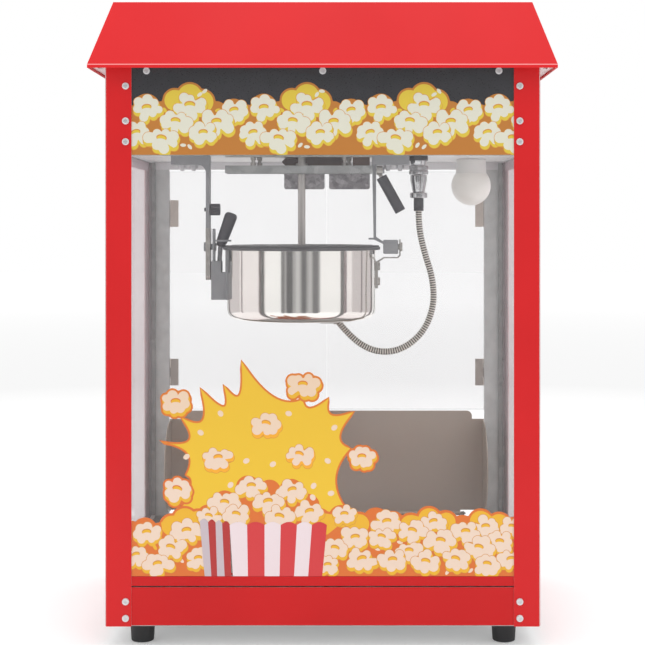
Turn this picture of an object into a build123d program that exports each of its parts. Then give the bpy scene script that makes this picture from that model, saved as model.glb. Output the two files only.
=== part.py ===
"""Tabletop popcorn maker: a glazed cabinet with a tipping kettle, rear doors, a tilting rear
flap and a crumb tray.

Millimetres. The origin is on the floor under the middle of the cabinet, +Z is up, the customer's
side faces -Y and the operator works from +Y. Each node is written as its own STEP file.
"""
from build123d import *
import os
from math import cos, hypot, pi, radians, sin, sqrt, tan

# ---- overall sizes ----
BODY_W, BODY_D = 524.0, 380.0        # outside of the four posts
BODY_TOP = 700.0                     # top of the posts
FOOT_H = 27.0                        # rubber foot, floor to cabinet
ROOF_W, ROOF_D = BODY_W + 36, BODY_D + 40            # roof at its lower edge
TOTAL_H = BODY_TOP + 79

# ---- sheet and glass ----
SHEET = 1.2
GLASS_T = 4.0
SIGN_T = 3.0
DOOR_T = 4.0
SEAT_GAP = 0.3                       # between a pane or plate and what carries it
BODY_GAP = 0.5                       # between pieces that move past each other
RUN_FIT = 0.05                       # radial clearance of a shaft in its bore

# ---- roof ----
ROOF_INSET = 27.0                    # how far the top edge stands in from the lower edge
ROOF_LIP = 4.0                       # upright hem along the lower edge
ROOF_DROP = 3.0                      # the hem hangs this far below the post tops
ROOF_ACCESS_W, ROOF_ACCESS_D = BODY_W - 104, BODY_D - 120

# ---- posts and panels ----
POST_FLANGE = 32.0
POST_BEND = 3.0
BASE_TOP = 74.0                      # front base panel's upper edge
SILL_BOTTOM, SILL_TOP = 75.6, 87.0
PANEL_RETURN = 18.0
CEILING_Z = BODY_TOP - 98            # underside of the ceiling plate
GLASS_TOP = CEILING_Z - 8            # where the front pane ends and the sign starts
SIDE_HEADER_BOTTOM = CEILING_Z - 14
REAR_HEADER_BOTTOM = CEILING_Z - 11
CHANNEL_W = 9.3                      # glass channel's leg across the pane's end

# ---- deck, tray and flap ----
DECK_W = BODY_W - 14
SLOT_W, SLOT_Y0, SLOT_Y1 = BODY_W - 120, BODY_D / 2 - 58, BODY_D / 2 - 14
TRAY_W, TRAY_FRONT, TRAY_TOP = BODY_W - 92, BODY_D / 2 - 250, SILL_BOTTOM + 0.4
TRAY_FACE_TOP = SILL_TOP - 5
FLAP_PIVOT_Y, FLAP_PIVOT_Z = BODY_D / 2 - 3.5, SILL_TOP + 2.5
FLAP_TOP, FLAP_LIP_TOP, FLAP_LIP_W = 227.0, 239.0, BODY_W - 100
CHEEK_CHORD, CHEEK_DEPTH, CHEEK_LOW = 128.0, 80.0, 96.0
FLAP_ROD_R, FLAP_KNUCKLE_R, FLAP_KNUCKLE_L = 1.5, 3.0, BODY_W - 134

# ---- rear doors ----
DOOR_BOTTOM, DOOR_TOP = FLAP_LIP_TOP + 2, REAR_HEADER_BOTTOM - 3
HINGE_ZS = (DOOR_BOTTOM + 54, DOOR_TOP - 61)
HINGE_H, HINGE_LEAF, HINGE_T = 39.0, 14.0, 1.2
HINGE_PIN_R, HINGE_KNUCKLE_R = 1.2, 2.4
HINGE_MID = 13.0                     # the moving knuckle's length
KNOB_Z, KNOB_R = DOOR_BOTTOM + 170, 9.0

# ---- feet ----
FOOT_X, FOOT_Y = BODY_W / 2 - 40, BODY_D / 2 - 41
FOOT_R_TOP, FOOT_R_LOW = 15.5, 13.8

# ---- kettle ----
KETTLE_X = -31.0                     # the kettle and its stirrer stand left of the middle
TILT_Z = CEILING_Z - 121             # height of the tipping axis, which lies along X at Y = 0
KETTLE_R, KETTLE_H, KETTLE_T, KETTLE_CORNER = 99.0, 92.0, 1.0, 16.0
KETTLE_TOP = TILT_Z - 4
KETTLE_BOTTOM = KETTLE_TOP - KETTLE_H
KETTLE_LEFT, KETTLE_RIGHT = KETTLE_X - KETTLE_R, KETTLE_X + KETTLE_R
PAN_R, PAN_T, PAN_BOTTOM, PAN_CORNER = KETTLE_R - 4.5, 1.5, KETTLE_BOTTOM + 15, 12.0
RIM_R, RIM_TOP = KETTLE_R + 5.6, KETTLE_TOP + 4.5
LID_R, LID_T = KETTLE_R + 4, 1.5
LID_END = KETTLE_R - 4.4             # the half lids end here along X, clear of the right arm
LID_PIN_Y, LID_PIN_R, LID_KNUCKLE_R, LID_KNUCKLE_L = 11.3, 0.8, 1.5, 10.0
LID_HINGE_X = KETTLE_R * 5 / 9
BAR_HALF = 9.0
HEATER_R, HEATER_TUBE_R = KETTLE_R - 39, 4.4
ARM_L, ARM_SQ, ARM_TIP = KETTLE_R - 25, 6.0, 22.0    # stirrer's arm and its upturned end
SHAFT_R = 5.0
SHAFT_TOP = CEILING_Z - 24.5

GRIP_FOOT = (KETTLE_LEFT - 7.4, 0.0, TILT_Z + 7)
GRIP_END = (KETTLE_LEFT + 6.3, 0.0, TILT_Z + 45)
HANDLE_ROD_R = 3.0

# ---- hangers, rail and drive ----
RAIL_X0, RAIL_X1 = KETTLE_LEFT - 2, KETTLE_RIGHT - 5.4
RAIL_Z0, RAIL_Z1 = CEILING_Z - 23.5, CEILING_Z - 13.3
RAIL_HALF, RAIL_T = 15.0, 1.4
STRIP_T = 2.0
COUPLING_R, COUPLING_TOP = 8.0, CEILING_Z - 10
TAB_BOTTOM = RAIL_Z0 - 20.5
HANGER_Z = CEILING_Z - 12            # underside of the hangers' bolted legs
LEFT_ARM_X0, LEFT_ARM_X1 = KETTLE_LEFT - 27.7, KETTLE_LEFT - 23
LEFT_LEG_X = LEFT_ARM_X0 - 45.9
BLADE_Z = TILT_Z + 25                # lower end of the left arm's blade
RIGHT_ARM_X, RIGHT_LEG_X = KETTLE_RIGHT, KETTLE_RIGHT + 44
RIGHT_ARM_Y0, RIGHT_ARM_Y1 = -9.0, -3.5
BLOCK_X0, BLOCK_X1, BLOCK_HALF_Z, BLOCK_HALF_Y = RIGHT_ARM_X + 9.7, RIGHT_ARM_X + 29.3, 9.3, 8.0
PIVOT_R = 4.0
THUMB_Z, THUMB_R = TILT_Z + 49.6, 7.75
LEVER_Z, LEVER_PIN_R, LEVER_GRIP_R = CEILING_Z - 19.5, 2.5, 7.25
LEVER_GRIP_TOP = (RIGHT_ARM_X + 7.0, CEILING_Z - 28)     # X and Z of the grip's axis
LEVER_GRIP_END = (RIGHT_ARM_X + 32.4, CEILING_Z - 74)

# ---- lamp, connector, hose ----
BULB_X, BULB_Y, BULB_Z, BULB_R = BODY_W / 2 - 59, BODY_D / 2 - 92, CEILING_Z - 37, 27.5
BULB_SPLIT = BULB_Z + 17
PLUG_X = RIGHT_ARM_X + 56.8
RELIEF_BOTTOM = CEILING_Z - 73.3
HOSE_D = 9.5
HOSE_FROM_PLUG = [                    # X from the plug and Z from the ceiling, all at Y = 0
    (0.0, -73.3), (0.0, -95.0), (7.7, -129.0), (18.7, -162.0), (20.7, -200.0), (6.2, -236.0),
]
HOSE_FROM_KETTLE = [                  # X from the kettle's middle and Z from its bottom
    (131.0, -43.0), (95.0, -44.0), (64.5, -24.0), (48.5, -3.7),
]

# ---- switches on the rear header ----
SWITCH_XS, SWITCH_Z = {"heat": -150.0, "stirrer": -110.0, "lamp": -70.0}, BODY_TOP - 50
SWITCH_W, SWITCH_H = 21.0, 28.0
INLET_X, INLET_W, INLET_H = 150.0, 27.0, 20.0

# ---- screws ----
SCREW_R, SCREW_H = 4.25, 2.4
POST_SCREW_X = BODY_W / 2 - 25
POST_SCREW_ZS = (37.0, 57.0, BODY_TOP - 90, BODY_TOP - 65, BODY_TOP - 23)
SIGN_SCREW_XS, SIGN_SCREW_Z = (-BODY_W / 2 + 50, 0.0, BODY_W / 2 - 50), BODY_TOP - 4.6
SIGN_SCREW_DROP = 6.0                # the rear header's screws sit this much lower
NUT_R, NUT_H, NUT_BOLT_R = 5.6, 5.0, 2.8
NUT_XS = (LEFT_ARM_X0 - 32.3, LEFT_ARM_X0 - 17.3, RIGHT_ARM_X + 16, RIGHT_ARM_X + 32)

# ---- worked out from the sizes above ----
HALF_W, HALF_D = BODY_W / 2, BODY_D / 2
IN_X, IN_Y = HALF_W - SHEET, HALF_D - SHEET          # inner faces of the post flanges
OPEN_X = HALF_W - POST_FLANGE                        # half of the clear opening, front and rear
SIDE_PANEL_IN = IN_X - SHEET                         # inner face of the side sheets
PANEL_IN = IN_Y - SHEET                              # inner face of the front and rear sheets
DECK_TOP = SILL_TOP - SHEET - SEAT_GAP
PANE_BACK = IN_Y - BODY_GAP - GLASS_T                # rear face of the front pane
SIDE_PANE_OUT = SIDE_PANEL_IN - SEAT_GAP
SIDE_PANE_IN = SIDE_PANE_OUT - GLASS_T
CHANNEL_Y = PANE_BACK - SHEET                        # inner face of the channels' cross legs
HEADER_LEDGE = CEILING_Z - SHEET                     # underside of the side headers' ledge
DOOR_OUT = HALF_D + 0.4                              # outer face of the doors
HINGE_PIN_X = OPEN_X + 1.0
HINGE_PIN_Y = DOOR_OUT + 0.1 + HINGE_KNUCKLE_R
TRAY_FACE_X = OPEN_X - BODY_GAP
FLAP_X = OPEN_X - BODY_GAP
FLAP_Y = FLAP_PIVOT_Y + FLAP_KNUCKLE_R               # outer face of the flap
ROOF_BOTTOM = BODY_TOP - ROOF_DROP
STRIP_Z = CEILING_Z - STRIP_T
LEVER_Y = (RIGHT_ARM_Y0 + RIGHT_ARM_Y1) / 2
LID_Z = RIM_TOP + SEAT_GAP
LID_PIN_Z = LID_Z + LID_T / 2
HOSE_ROUTE = [(PLUG_X + x, CEILING_Z + z) for x, z in HOSE_FROM_PLUG]
HOSE_ROUTE += [(KETTLE_X + x, KETTLE_BOTTOM + z) for x, z in HOSE_FROM_KETTLE]


def block(x0, x1, y0, y1, z0, z1):
    """A box between two corners."""
    centre = Pos((x0 + x1) / 2, (y0 + y1) / 2, (z0 + z1) / 2)
    return centre * Box(abs(x1 - x0), abs(y1 - y0), abs(z1 - z0))


def rod_z(x, y, z0, z1, r):
    """A cylinder along Z."""
    return Pos(x, y, (z0 + z1) / 2) * Cylinder(r, z1 - z0)


def rod_x(x0, x1, y, z, r):
    """A cylinder along X."""
    return Pos((x0 + x1) / 2, y, z) * Rot(0, 90, 0) * Cylinder(r, x1 - x0)


def rod_y(y0, y1, x, z, r):
    """A cylinder along Y."""
    return Pos(x, (y0 + y1) / 2, z) * Rot(90, 0, 0) * Cylinder(r, y1 - y0)


def rod_between(start, end, r0, r1=None):
    """A cylinder, or a cone from r0 to r1, between two points."""
    along = Vector(*end) - Vector(*start)
    shape = Cone(r0, r1, along.length) if r1 is not None and r1 != r0 else Cylinder(r0, along.length)
    return Plane(origin=Vector(*start) + along * 0.5, z_dir=along) * shape


def both_sides(shape):
    """The shape and its mirror image across the YZ plane."""
    return [shape, mirror(shape, about=Plane.YZ)]


def plate_xz(points, y0, y1):
    """A plate with an XZ outline, from y0 to y1."""
    outline = make_face(Polyline(*[(x, 0, z) for x, z in points], close=True))
    return Pos(0, y0, 0) * extrude(outline, amount=y1 - y0, dir=(0, 1, 0))


def turned(points, x=0.0, y=0.0):
    """A solid of revolution about the vertical line through x, y, from radius and height pairs."""
    outline = make_face(Polyline(*[(r, 0, z) for r, z in points], close=True))
    return Pos(x, y, 0) * revolve(outline, Axis.Z)


def group(shapes):
    """Separate solids that share one node."""
    return Compound(children=[s for shape in shapes for s in shape.solids()])


def save(name, shape):
    export_step(shape, f"parts/{name}.step")


# ---------------------------------------------------------------- cabinet
def post(sx, sy):
    """One corner post, an L of two flanges with its bend at the cabinet's corner."""
    corner = (Align.MIN, Align.MIN)
    outer = Rectangle(POST_FLANGE, POST_FLANGE, align=corner)
    outer = fillet(outer.vertices().sort_by_distance((0, 0))[0], POST_BEND)
    inner = Rectangle(POST_FLANGE, POST_FLANGE, align=corner)
    inner = fillet(inner.vertices().sort_by_distance((0, 0))[0], POST_BEND - SHEET)
    section = outer - Pos(SHEET, SHEET) * inner
    made = Pos(-HALF_W, -HALF_D, FOOT_H) * extrude(section, BODY_TOP - FOOT_H)
    if sx > 0:
        made = mirror(made, about=Plane.YZ)
    if sy > 0:
        made = mirror(made, about=Plane.XZ)
    return made


def roof_form(grow, top):
    """The roof's outer form, or its hollow when grow is the negative sheet."""
    low_w, low_d = ROOF_W + 2 * grow, ROOF_D + 2 * grow
    hem = Pos(0, 0, ROOF_BOTTOM) * extrude(Rectangle(low_w, low_d), ROOF_LIP)
    z_low = ROOF_BOTTOM + ROOF_LIP
    lower = Pos(0, 0, z_low) * Rectangle(low_w, low_d)
    upper = Pos(0, 0, top) * Rectangle(low_w - 2 * ROOF_INSET, low_d - 2 * ROOF_INSET)
    return hem + loft([lower, upper], ruled=True)


def roof_shell():
    return roof_form(0, TOTAL_H) - roof_form(-SHEET, TOTAL_H - SHEET)


def roof_underplate():
    """Closes the roof from below and rests on the post tops, with vent slots beside the posts."""
    wide, deep = ROOF_W / 2 - SHEET - SEAT_GAP, ROOF_D / 2 - SHEET - SEAT_GAP
    plate = block(-wide, wide, -deep, deep, BODY_TOP, BODY_TOP + SHEET)
    plate -= block(-ROOF_ACCESS_W / 2, ROOF_ACCESS_W / 2, -ROOF_ACCESS_D / 2, ROOF_ACCESS_D / 2,
                   BODY_TOP - 1, BODY_TOP + SHEET + 1)
    for x in (-HALF_W - 8, HALF_W + 8):
        for y in (-HALF_D + 12, HALF_D - 12):
            plate -= block(x - 2.5, x + 2.5, y - 9, y + 9, BODY_TOP - 1, BODY_TOP + SHEET + 1)
    return plate


def sheet_with_ledge(x_half, z0, z1, ledge):
    """A front sheet behind the post flanges, with its upper edge folded back."""
    face = block(-x_half, x_half, -IN_Y, -PANEL_IN, z0, z1)
    return face + block(-x_half, x_half, -IN_Y, -IN_Y + ledge, z1 - SHEET, z1)


def base_side_panel():
    """The right lower side sheet, folded in at the top to carry the side pane."""
    y = PANE_BACK - 2 * SEAT_GAP
    face = block(SIDE_PANEL_IN, IN_X, -y, y, FOOT_H + SHEET, SILL_TOP)
    return face + block(SIDE_PANE_OUT - CHANNEL_W, IN_X, -PANE_BACK + PANEL_RETURN, y,
                        SILL_TOP - SHEET, SILL_TOP)


def side_header():
    """The right header sheet, with a ledge under the ceiling plate."""
    y = PANE_BACK + SEAT_GAP
    face = block(SIDE_PANEL_IN, IN_X, -y, y, SIDE_HEADER_BOTTOM, BODY_TOP - SEAT_GAP)
    return face + block(DECK_W / 2 - 4, IN_X, -y, y, HEADER_LEDGE, CEILING_Z)


def rear_header():
    """The operator's panel over the doors, with openings for the switches and the inlet."""
    panel = block(-HALF_W + 4, HALF_W - 4, PANEL_IN, IN_Y, REAR_HEADER_BOTTOM,
                  BODY_TOP - SEAT_GAP)
    for x in SWITCH_XS.values():
        panel -= block(x - SWITCH_W / 2, x + SWITCH_W / 2, PANEL_IN - 1, IN_Y + 1,
                       SWITCH_Z - SWITCH_H / 2, SWITCH_Z + SWITCH_H / 2)
    panel -= block(INLET_X - INLET_W / 2, INLET_X + INLET_W / 2, PANEL_IN - 1, IN_Y + 1,
                   SWITCH_Z - INLET_H / 2, SWITCH_Z + INLET_H / 2)
    return panel


def ceiling_plate():
    plate = block(-DECK_W / 2, DECK_W / 2, -PANE_BACK, PANEL_IN - SEAT_GAP,
                  CEILING_Z, CEILING_Z + SHEET)
    for x, y, r in ((KETTLE_X, 0, COUPLING_R + 1), (PLUG_X, 0, 7), (BULB_X, BULB_Y, 15)):
        plate -= rod_z(x, y, CEILING_Z - 1, CEILING_Z + SHEET + 1, r)
    return plate


def deck_plate():
    """The popcorn floor, with a slot at the operator's edge for loose kernels."""
    plate = block(-DECK_W / 2, DECK_W / 2, -PANEL_IN + SEAT_GAP, PANEL_IN, DECK_TOP - SHEET, DECK_TOP)
    return plate - block(-SLOT_W / 2, SLOT_W / 2, SLOT_Y0, SLOT_Y1, DECK_TOP - 5, DECK_TOP + 5)


def base_plate():
    """The cabinet's floor with the two runners that guide the crumb tray."""
    wide, deep = SIDE_PANEL_IN - SEAT_GAP, PANEL_IN - SEAT_GAP
    plate = block(-wide, wide, -deep, deep, FOOT_H, FOOT_H + SHEET)
    x0 = TRAY_W / 2 + BODY_GAP
    runner = block(x0, x0 + SHEET, TRAY_FRONT, deep - 6, FOOT_H + SHEET, FOOT_H + 24)
    runner += block(x0, x0 + 12, TRAY_FRONT, deep - 6, FOOT_H + SHEET, FOOT_H + 2 * SHEET)
    for side in both_sides(runner):
        plate += side
    return plate


def glass_channels():
    """Four upright strips that hold the ends of the side panes."""
    top = HEADER_LEDGE - SEAT_GAP
    x0 = SIDE_PANE_OUT - CHANNEL_W
    rear = block(x0, SIDE_PANE_OUT, CHANNEL_Y + SEAT_GAP, PANE_BACK + SEAT_GAP, SILL_TOP, top)
    rear += block(x0, x0 + SHEET, PANE_BACK, PANEL_IN - SEAT_GAP, SILL_TOP, REAR_HEADER_BOTTOM)
    front = block(x0, SIDE_PANE_OUT, -PANE_BACK, -CHANNEL_Y, SILL_TOP, top)
    front += block(x0, x0 + SHEET, -PANE_BACK, -CHANNEL_Y + 12, SILL_TOP, top)
    return group(both_sides(rear) + both_sides(front))


def foot(x, y):
    """A tapered rubber foot with its lower edge rounded."""
    body = Pos(x, y, FOOT_H / 2) * Cone(FOOT_R_LOW, FOOT_R_TOP, FOOT_H)
    return fillet(body.edges().filter_by(GeomType.CIRCLE).sort_by(Axis.Z)[0], 1.5)


# ---------------------------------------------------------------- crumb tray and flap
def crumb_tray():
    y1 = IN_Y
    z0 = FOOT_H + SHEET + SEAT_GAP
    tray = block(-TRAY_W / 2, TRAY_W / 2, TRAY_FRONT, y1, z0, TRAY_TOP)
    return tray - block(-TRAY_W / 2 + SHEET, TRAY_W / 2 - SHEET, TRAY_FRONT + SHEET, y1 - SHEET,
                        z0 + SHEET, TRAY_TOP + 1)


def crumb_tray_face():
    """The tray's red face between the rear posts, with a bent pull."""
    face = block(-TRAY_FACE_X, TRAY_FACE_X, IN_Y, HALF_D, FOOT_H + SHEET + BODY_GAP, TRAY_FACE_TOP)
    pull = block(-40, 40, HALF_D, HALF_D + 12, 52, 53.5)
    pull += block(-40, 40, HALF_D + 10.5, HALF_D + 12, 46, 53.5)
    return face + pull


def rear_flap():
    """A stainless flap with curved side cheeks, curled round its rod at the lower edge."""
    inner = FLAP_Y - SHEET
    flap = block(-FLAP_X, FLAP_X, inner, FLAP_Y, FLAP_PIVOT_Z + 4.5, FLAP_TOP)
    flap += block(-FLAP_KNUCKLE_L / 2, FLAP_KNUCKLE_L / 2, inner, FLAP_Y, FLAP_PIVOT_Z, FLAP_TOP)
    lip = block(-FLAP_LIP_W / 2, FLAP_LIP_W / 2, inner, FLAP_Y, FLAP_TOP - 1, FLAP_LIP_TOP)
    corners = lip.edges().filter_by(Axis.Y).sort_by(Axis.Z)[-2:]
    flap += fillet(corners, 8)
    curl_r = (CHEEK_CHORD ** 2 / 4 + CHEEK_DEPTH ** 2) / (2 * CHEEK_DEPTH)
    z_mid = CHEEK_LOW + CHEEK_CHORD / 2
    cheek = rod_x(FLAP_X - 2 * SHEET, FLAP_X - SHEET, FLAP_Y - CHEEK_DEPTH + curl_r, z_mid, curl_r)
    cheek -= block(0, 2 * FLAP_X, inner, inner + 4 * curl_r, 0, 2 * FLAP_TOP)
    for side in both_sides(cheek):
        flap += side
    curl = rod_x(-FLAP_KNUCKLE_L / 2, FLAP_KNUCKLE_L / 2, FLAP_PIVOT_Y, FLAP_PIVOT_Z, FLAP_KNUCKLE_R)
    flap += curl
    return flap - rod_x(-FLAP_X, FLAP_X, FLAP_PIVOT_Y, FLAP_PIVOT_Z, FLAP_ROD_R + RUN_FIT)


def flap_pivot():
    """The flap's rod and the two lugs on the deck that carry it."""
    x0 = FLAP_KNUCKLE_L / 2 + BODY_GAP
    rod = rod_x(-x0 - 7, x0 + 7, FLAP_PIVOT_Y, FLAP_PIVOT_Z, FLAP_ROD_R)
    lug = block(x0, x0 + 5, FLAP_PIVOT_Y - 4, PANEL_IN, DECK_TOP, FLAP_PIVOT_Z + 3)
    lug -= rod_x(x0 - 1, x0 + 6, FLAP_PIVOT_Y, FLAP_PIVOT_Z, FLAP_ROD_R + RUN_FIT)
    return group([rod] + both_sides(lug))


# ---------------------------------------------------------------- rear doors
def door():
    """The right clear leaf."""
    leaf = block(BODY_GAP, OPEN_X - BODY_GAP, DOOR_OUT - DOOR_T, DOOR_OUT, DOOR_BOTTOM, DOOR_TOP)
    free_edge = leaf.edges().filter_by(Axis.Y).sort_by(Axis.X)[:2]
    return fillet(free_edge, 6)


def hinge_knuckle(z0, z1):
    """A hollow knuckle round the right hinge pin."""
    tube = rod_z(HINGE_PIN_X, HINGE_PIN_Y, z0, z1, HINGE_KNUCKLE_R)
    return tube - rod_z(HINGE_PIN_X, HINGE_PIN_Y, z0 - 1, z1 + 1, HINGE_PIN_R + RUN_FIT)


def clear_of_knuckles(z0, z1):
    """The space round the right pin that a leaf leaves for the other leaf's knuckle."""
    r = HINGE_KNUCKLE_R + SEAT_GAP
    return block(HINGE_PIN_X - r, HINGE_PIN_X + r, HINGE_PIN_Y - 9, HINGE_PIN_Y + 9, z0, z1)


def door_hinge_moving(z):
    """The leaf screwed to the right door, with the middle knuckle."""
    half, mid = HINGE_H / 2, HINGE_MID / 2
    leaf = block(HINGE_PIN_X - HINGE_LEAF, HINGE_PIN_X, DOOR_OUT, DOOR_OUT + HINGE_T, z - half, z + half)
    leaf -= clear_of_knuckles(z - half - 1, z - mid)
    leaf -= clear_of_knuckles(z + mid, z + half + 1)
    leaf -= rod_z(HINGE_PIN_X, HINGE_PIN_Y, z - half, z + half, HINGE_PIN_R + RUN_FIT)
    return leaf + hinge_knuckle(z - mid, z + mid)


def door_hinge_fixed(z):
    """The leaf screwed to the right rear post, with the two outer knuckles."""
    half, mid = HINGE_H / 2, HINGE_MID / 2 + SEAT_GAP
    leaf = block(HINGE_PIN_X, HINGE_PIN_X + HINGE_LEAF, HALF_D, HALF_D + HINGE_T, z - half, z + half)
    leaf += block(HINGE_PIN_X, HINGE_PIN_X + 2, HALF_D, HINGE_PIN_Y - 1.4, z - half, z + half)
    leaf -= clear_of_knuckles(z - mid, z + mid)
    leaf += hinge_knuckle(z - half, z - mid)
    return leaf + hinge_knuckle(z + mid, z + half)


def door_fittings():
    """Both hinge leaves and the knob of the right door."""
    x = 16.0
    knob = rod_y(DOOR_OUT, DOOR_OUT + 8, x, KNOB_Z, KNOB_R * 0.55)
    cap = rod_y(DOOR_OUT + 8, DOOR_OUT + 15, x, KNOB_Z, KNOB_R)
    knob += fillet(cap.edges().filter_by(GeomType.CIRCLE).sort_by(Axis.Y)[-1], 2.5)
    return group([door_hinge_moving(z) for z in HINGE_ZS] + [knob])


def door_hinges_fixed():
    """The four fixed leaves with their pins."""
    made = []
    for z in HINGE_ZS:
        pin = rod_z(HINGE_PIN_X, HINGE_PIN_Y, z - HINGE_H / 2, z + HINGE_H / 2, HINGE_PIN_R)
        made += both_sides(door_hinge_fixed(z)) + both_sides(pin)
    return group(made)


# ---------------------------------------------------------------- head: drive, rail, hangers
def gearmotor():
    """The gearbox on the ceiling plate and its motor, in the closed head."""
    z0 = CEILING_Z + SHEET
    box = block(KETTLE_X - 35, KETTLE_X + 35, -28, 28, z0, z0 + 30)
    box = fillet(box.edges().filter_by(Axis.Z), 4)
    can = rod_z(KETTLE_X, 0, z0 + 30, z0 + 82, 27)
    can = fillet(can.edges().filter_by(GeomType.CIRCLE).sort_by(Axis.Z)[-1], 4)
    return box + can - rod_z(KETTLE_X, 0, z0 - 1, z0 + 18, SHAFT_R + RUN_FIT)


def drive_coupling():
    """The gearbox's output shaft with the slotted coupling that drives the stirrer."""
    shaft = rod_z(KETTLE_X, 0, COUPLING_TOP, CEILING_Z + SHEET + 17, SHAFT_R)
    cup = rod_z(KETTLE_X, 0, SHAFT_TOP + 2 * BODY_GAP, COUPLING_TOP, COUPLING_R)
    slot = block(KETTLE_X - 2.2, KETTLE_X + 2.2, -20, 20, SHAFT_TOP, SHAFT_TOP + 4)
    return shaft + cup - slot


def hanger_rail():
    """The channel between the hangers, open below, that keeps the stirrer upright."""
    rail = block(RAIL_X0, RAIL_X1, -RAIL_HALF, RAIL_HALF, RAIL_Z0, RAIL_Z1)
    rail -= block(RAIL_X0 - 1, RAIL_X1 + 1, -RAIL_HALF + RAIL_T, RAIL_HALF - RAIL_T,
                  RAIL_Z0 - 1, RAIL_Z1 - RAIL_T)
    return rail - rod_z(KETTLE_X, 0, RAIL_Z0, RAIL_Z1 + 1, COUPLING_R + 1)


def rail_mounts():
    """The strip under the ceiling plate and the four bolts that hang the rail from it."""
    strip = block(RAIL_X0, RAIL_X1, -RAIL_HALF, RAIL_HALF, STRIP_Z, CEILING_Z)
    strip -= rod_z(KETTLE_X, 0, STRIP_Z - 1, CEILING_Z + 1, COUPLING_R + 1)
    made = [strip]
    spots = ((RAIL_X0 + 37, -9.0), (RAIL_X0 + 44.5, 9.0),
             (RAIL_X1 - 36.4, -9.0), (RAIL_X1 - 30.6, 9.0))
    for x, y in spots:
        bolt = rod_z(x, y, RAIL_Z1, STRIP_Z, 2.4)
        for z in (RAIL_Z1, STRIP_Z - 4):
            bolt += Pos(x, y, z) * extrude(RegularPolygon(3.6, 6), 4)
        made.append(bolt)
    return group(made)


def stop_tabs():
    """Two plates on the rail's operator side that the rim meets when the kettle is tipped."""
    made = []
    for x0, x1 in ((KETTLE_X - 24, KETTLE_X + 30.4), (KETTLE_X + 36.3, RAIL_X1 - 2.6)):
        tab = block(x0, x1, RAIL_HALF, RAIL_HALF + SHEET, TAB_BOTTOM, RAIL_Z1)
        made.append(fillet(tab.edges().filter_by(Axis.Y).sort_by(Axis.Z)[:2], 3))
    return group(made)


def limit_switch():
    """The lamp's changeover switch over the rail and the guard bar beside the coupling."""
    x, end, z = KETTLE_X - 22, RAIL_X1 - 38.6, RAIL_Z1 + 0.5
    switch = block(RAIL_X1 - 25.6, RAIL_X1 - 3, -7, 9, RAIL_Z1, STRIP_Z)
    guard = plate_xz([(x - 5, z + 5.3), (x, z), (end, z), (end, STRIP_Z), (x, STRIP_Z)],
                     RAIL_HALF - 5.6, RAIL_HALF - 2)
    return group([switch, guard])


def left_hanger():
    """The cast left arm: a bolted leg under the ceiling and a blade down to the strap."""
    r = 11.0
    arm = block(LEFT_LEG_X, LEFT_ARM_X1, -15, 15, HANGER_Z, CEILING_Z)
    arm += block(LEFT_ARM_X0, LEFT_ARM_X1, -12, 12, BLADE_Z, HANGER_Z)
    web = block(LEFT_ARM_X0 - r, LEFT_ARM_X0, -12, 12, HANGER_Z - r, HANGER_Z)
    arm += web - rod_y(-13, 13, LEFT_ARM_X0 - r, HANGER_Z - r, r)
    return arm - rod_x(LEFT_ARM_X0 - 1, LEFT_ARM_X1 + 1, 0, THUMB_Z, 2.5 + RUN_FIT)


def left_strap():
    """The steel strap under the left blade that carries the kettle's left pin."""
    strap = block(LEFT_ARM_X0 - 0.3, LEFT_ARM_X1 + 0.8, -11, 11, TILT_Z - 44, BLADE_Z)
    strap = fillet(strap.edges().filter_by(Axis.X).sort_by(Axis.Z)[:2], 6)
    return strap - rod_x(LEFT_ARM_X0 - 5, LEFT_ARM_X1 + 5, 0, TILT_Z, PIVOT_R + RUN_FIT)


def thumb_knob():
    """The knurled screw through the left blade."""
    x0 = LEFT_ARM_X1 + SEAT_GAP
    x1 = x0 + 13.2
    knob = rod_x(x0, x1, 0, THUMB_Z, THUMB_R) + rod_x(x0 - 8, x0, 0, THUMB_Z, 2.5)
    for step in range(12):
        turn = 2 * pi * step / 12
        knob -= rod_x(x0 + 3, x1 + 1, (THUMB_R + 0.6) * cos(turn),
                      THUMB_Z + (THUMB_R + 0.6) * sin(turn), 1.5)
    return knob


def right_hanger():
    """The right arm, with a tapered blade and the pivot block on its foot."""
    x = RIGHT_ARM_X
    arm = block(RAIL_X1, RIGHT_LEG_X, -15, 15, HANGER_Z, CEILING_Z)
    z = TILT_Z + 9.6
    arm += plate_xz([(x - 5.2, HANGER_Z), (x, HANGER_Z), (x, z + 3.9), (BLOCK_X0, z - 2.6),
                     (BLOCK_X0, z - 6), (x - 3, z), (x - 10, z), (x - 10, z + 2.4),
                     (x - 3.4, z + 2.4)], RIGHT_ARM_Y0, RIGHT_ARM_Y1)
    block_solid = block(BLOCK_X0, BLOCK_X1, -BLOCK_HALF_Y, BLOCK_HALF_Y,
                        TILT_Z - BLOCK_HALF_Z, TILT_Z + BLOCK_HALF_Z)
    block_solid = fillet(block_solid.edges().filter_by(Axis.Y), 1.2)
    bore = rod_x(BLOCK_X0 - 1, BLOCK_X1 + 1, 0, TILT_Z, PIVOT_R + RUN_FIT)
    lever_pin = rod_x(x - 2, x + 9, LEVER_Y, LEVER_Z, LEVER_PIN_R)
    lever_pin += rod_x(x + 9, x + 11, LEVER_Y, LEVER_Z, LEVER_PIN_R + 1.5)
    return arm + lever_pin + (block_solid - bore)


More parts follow.
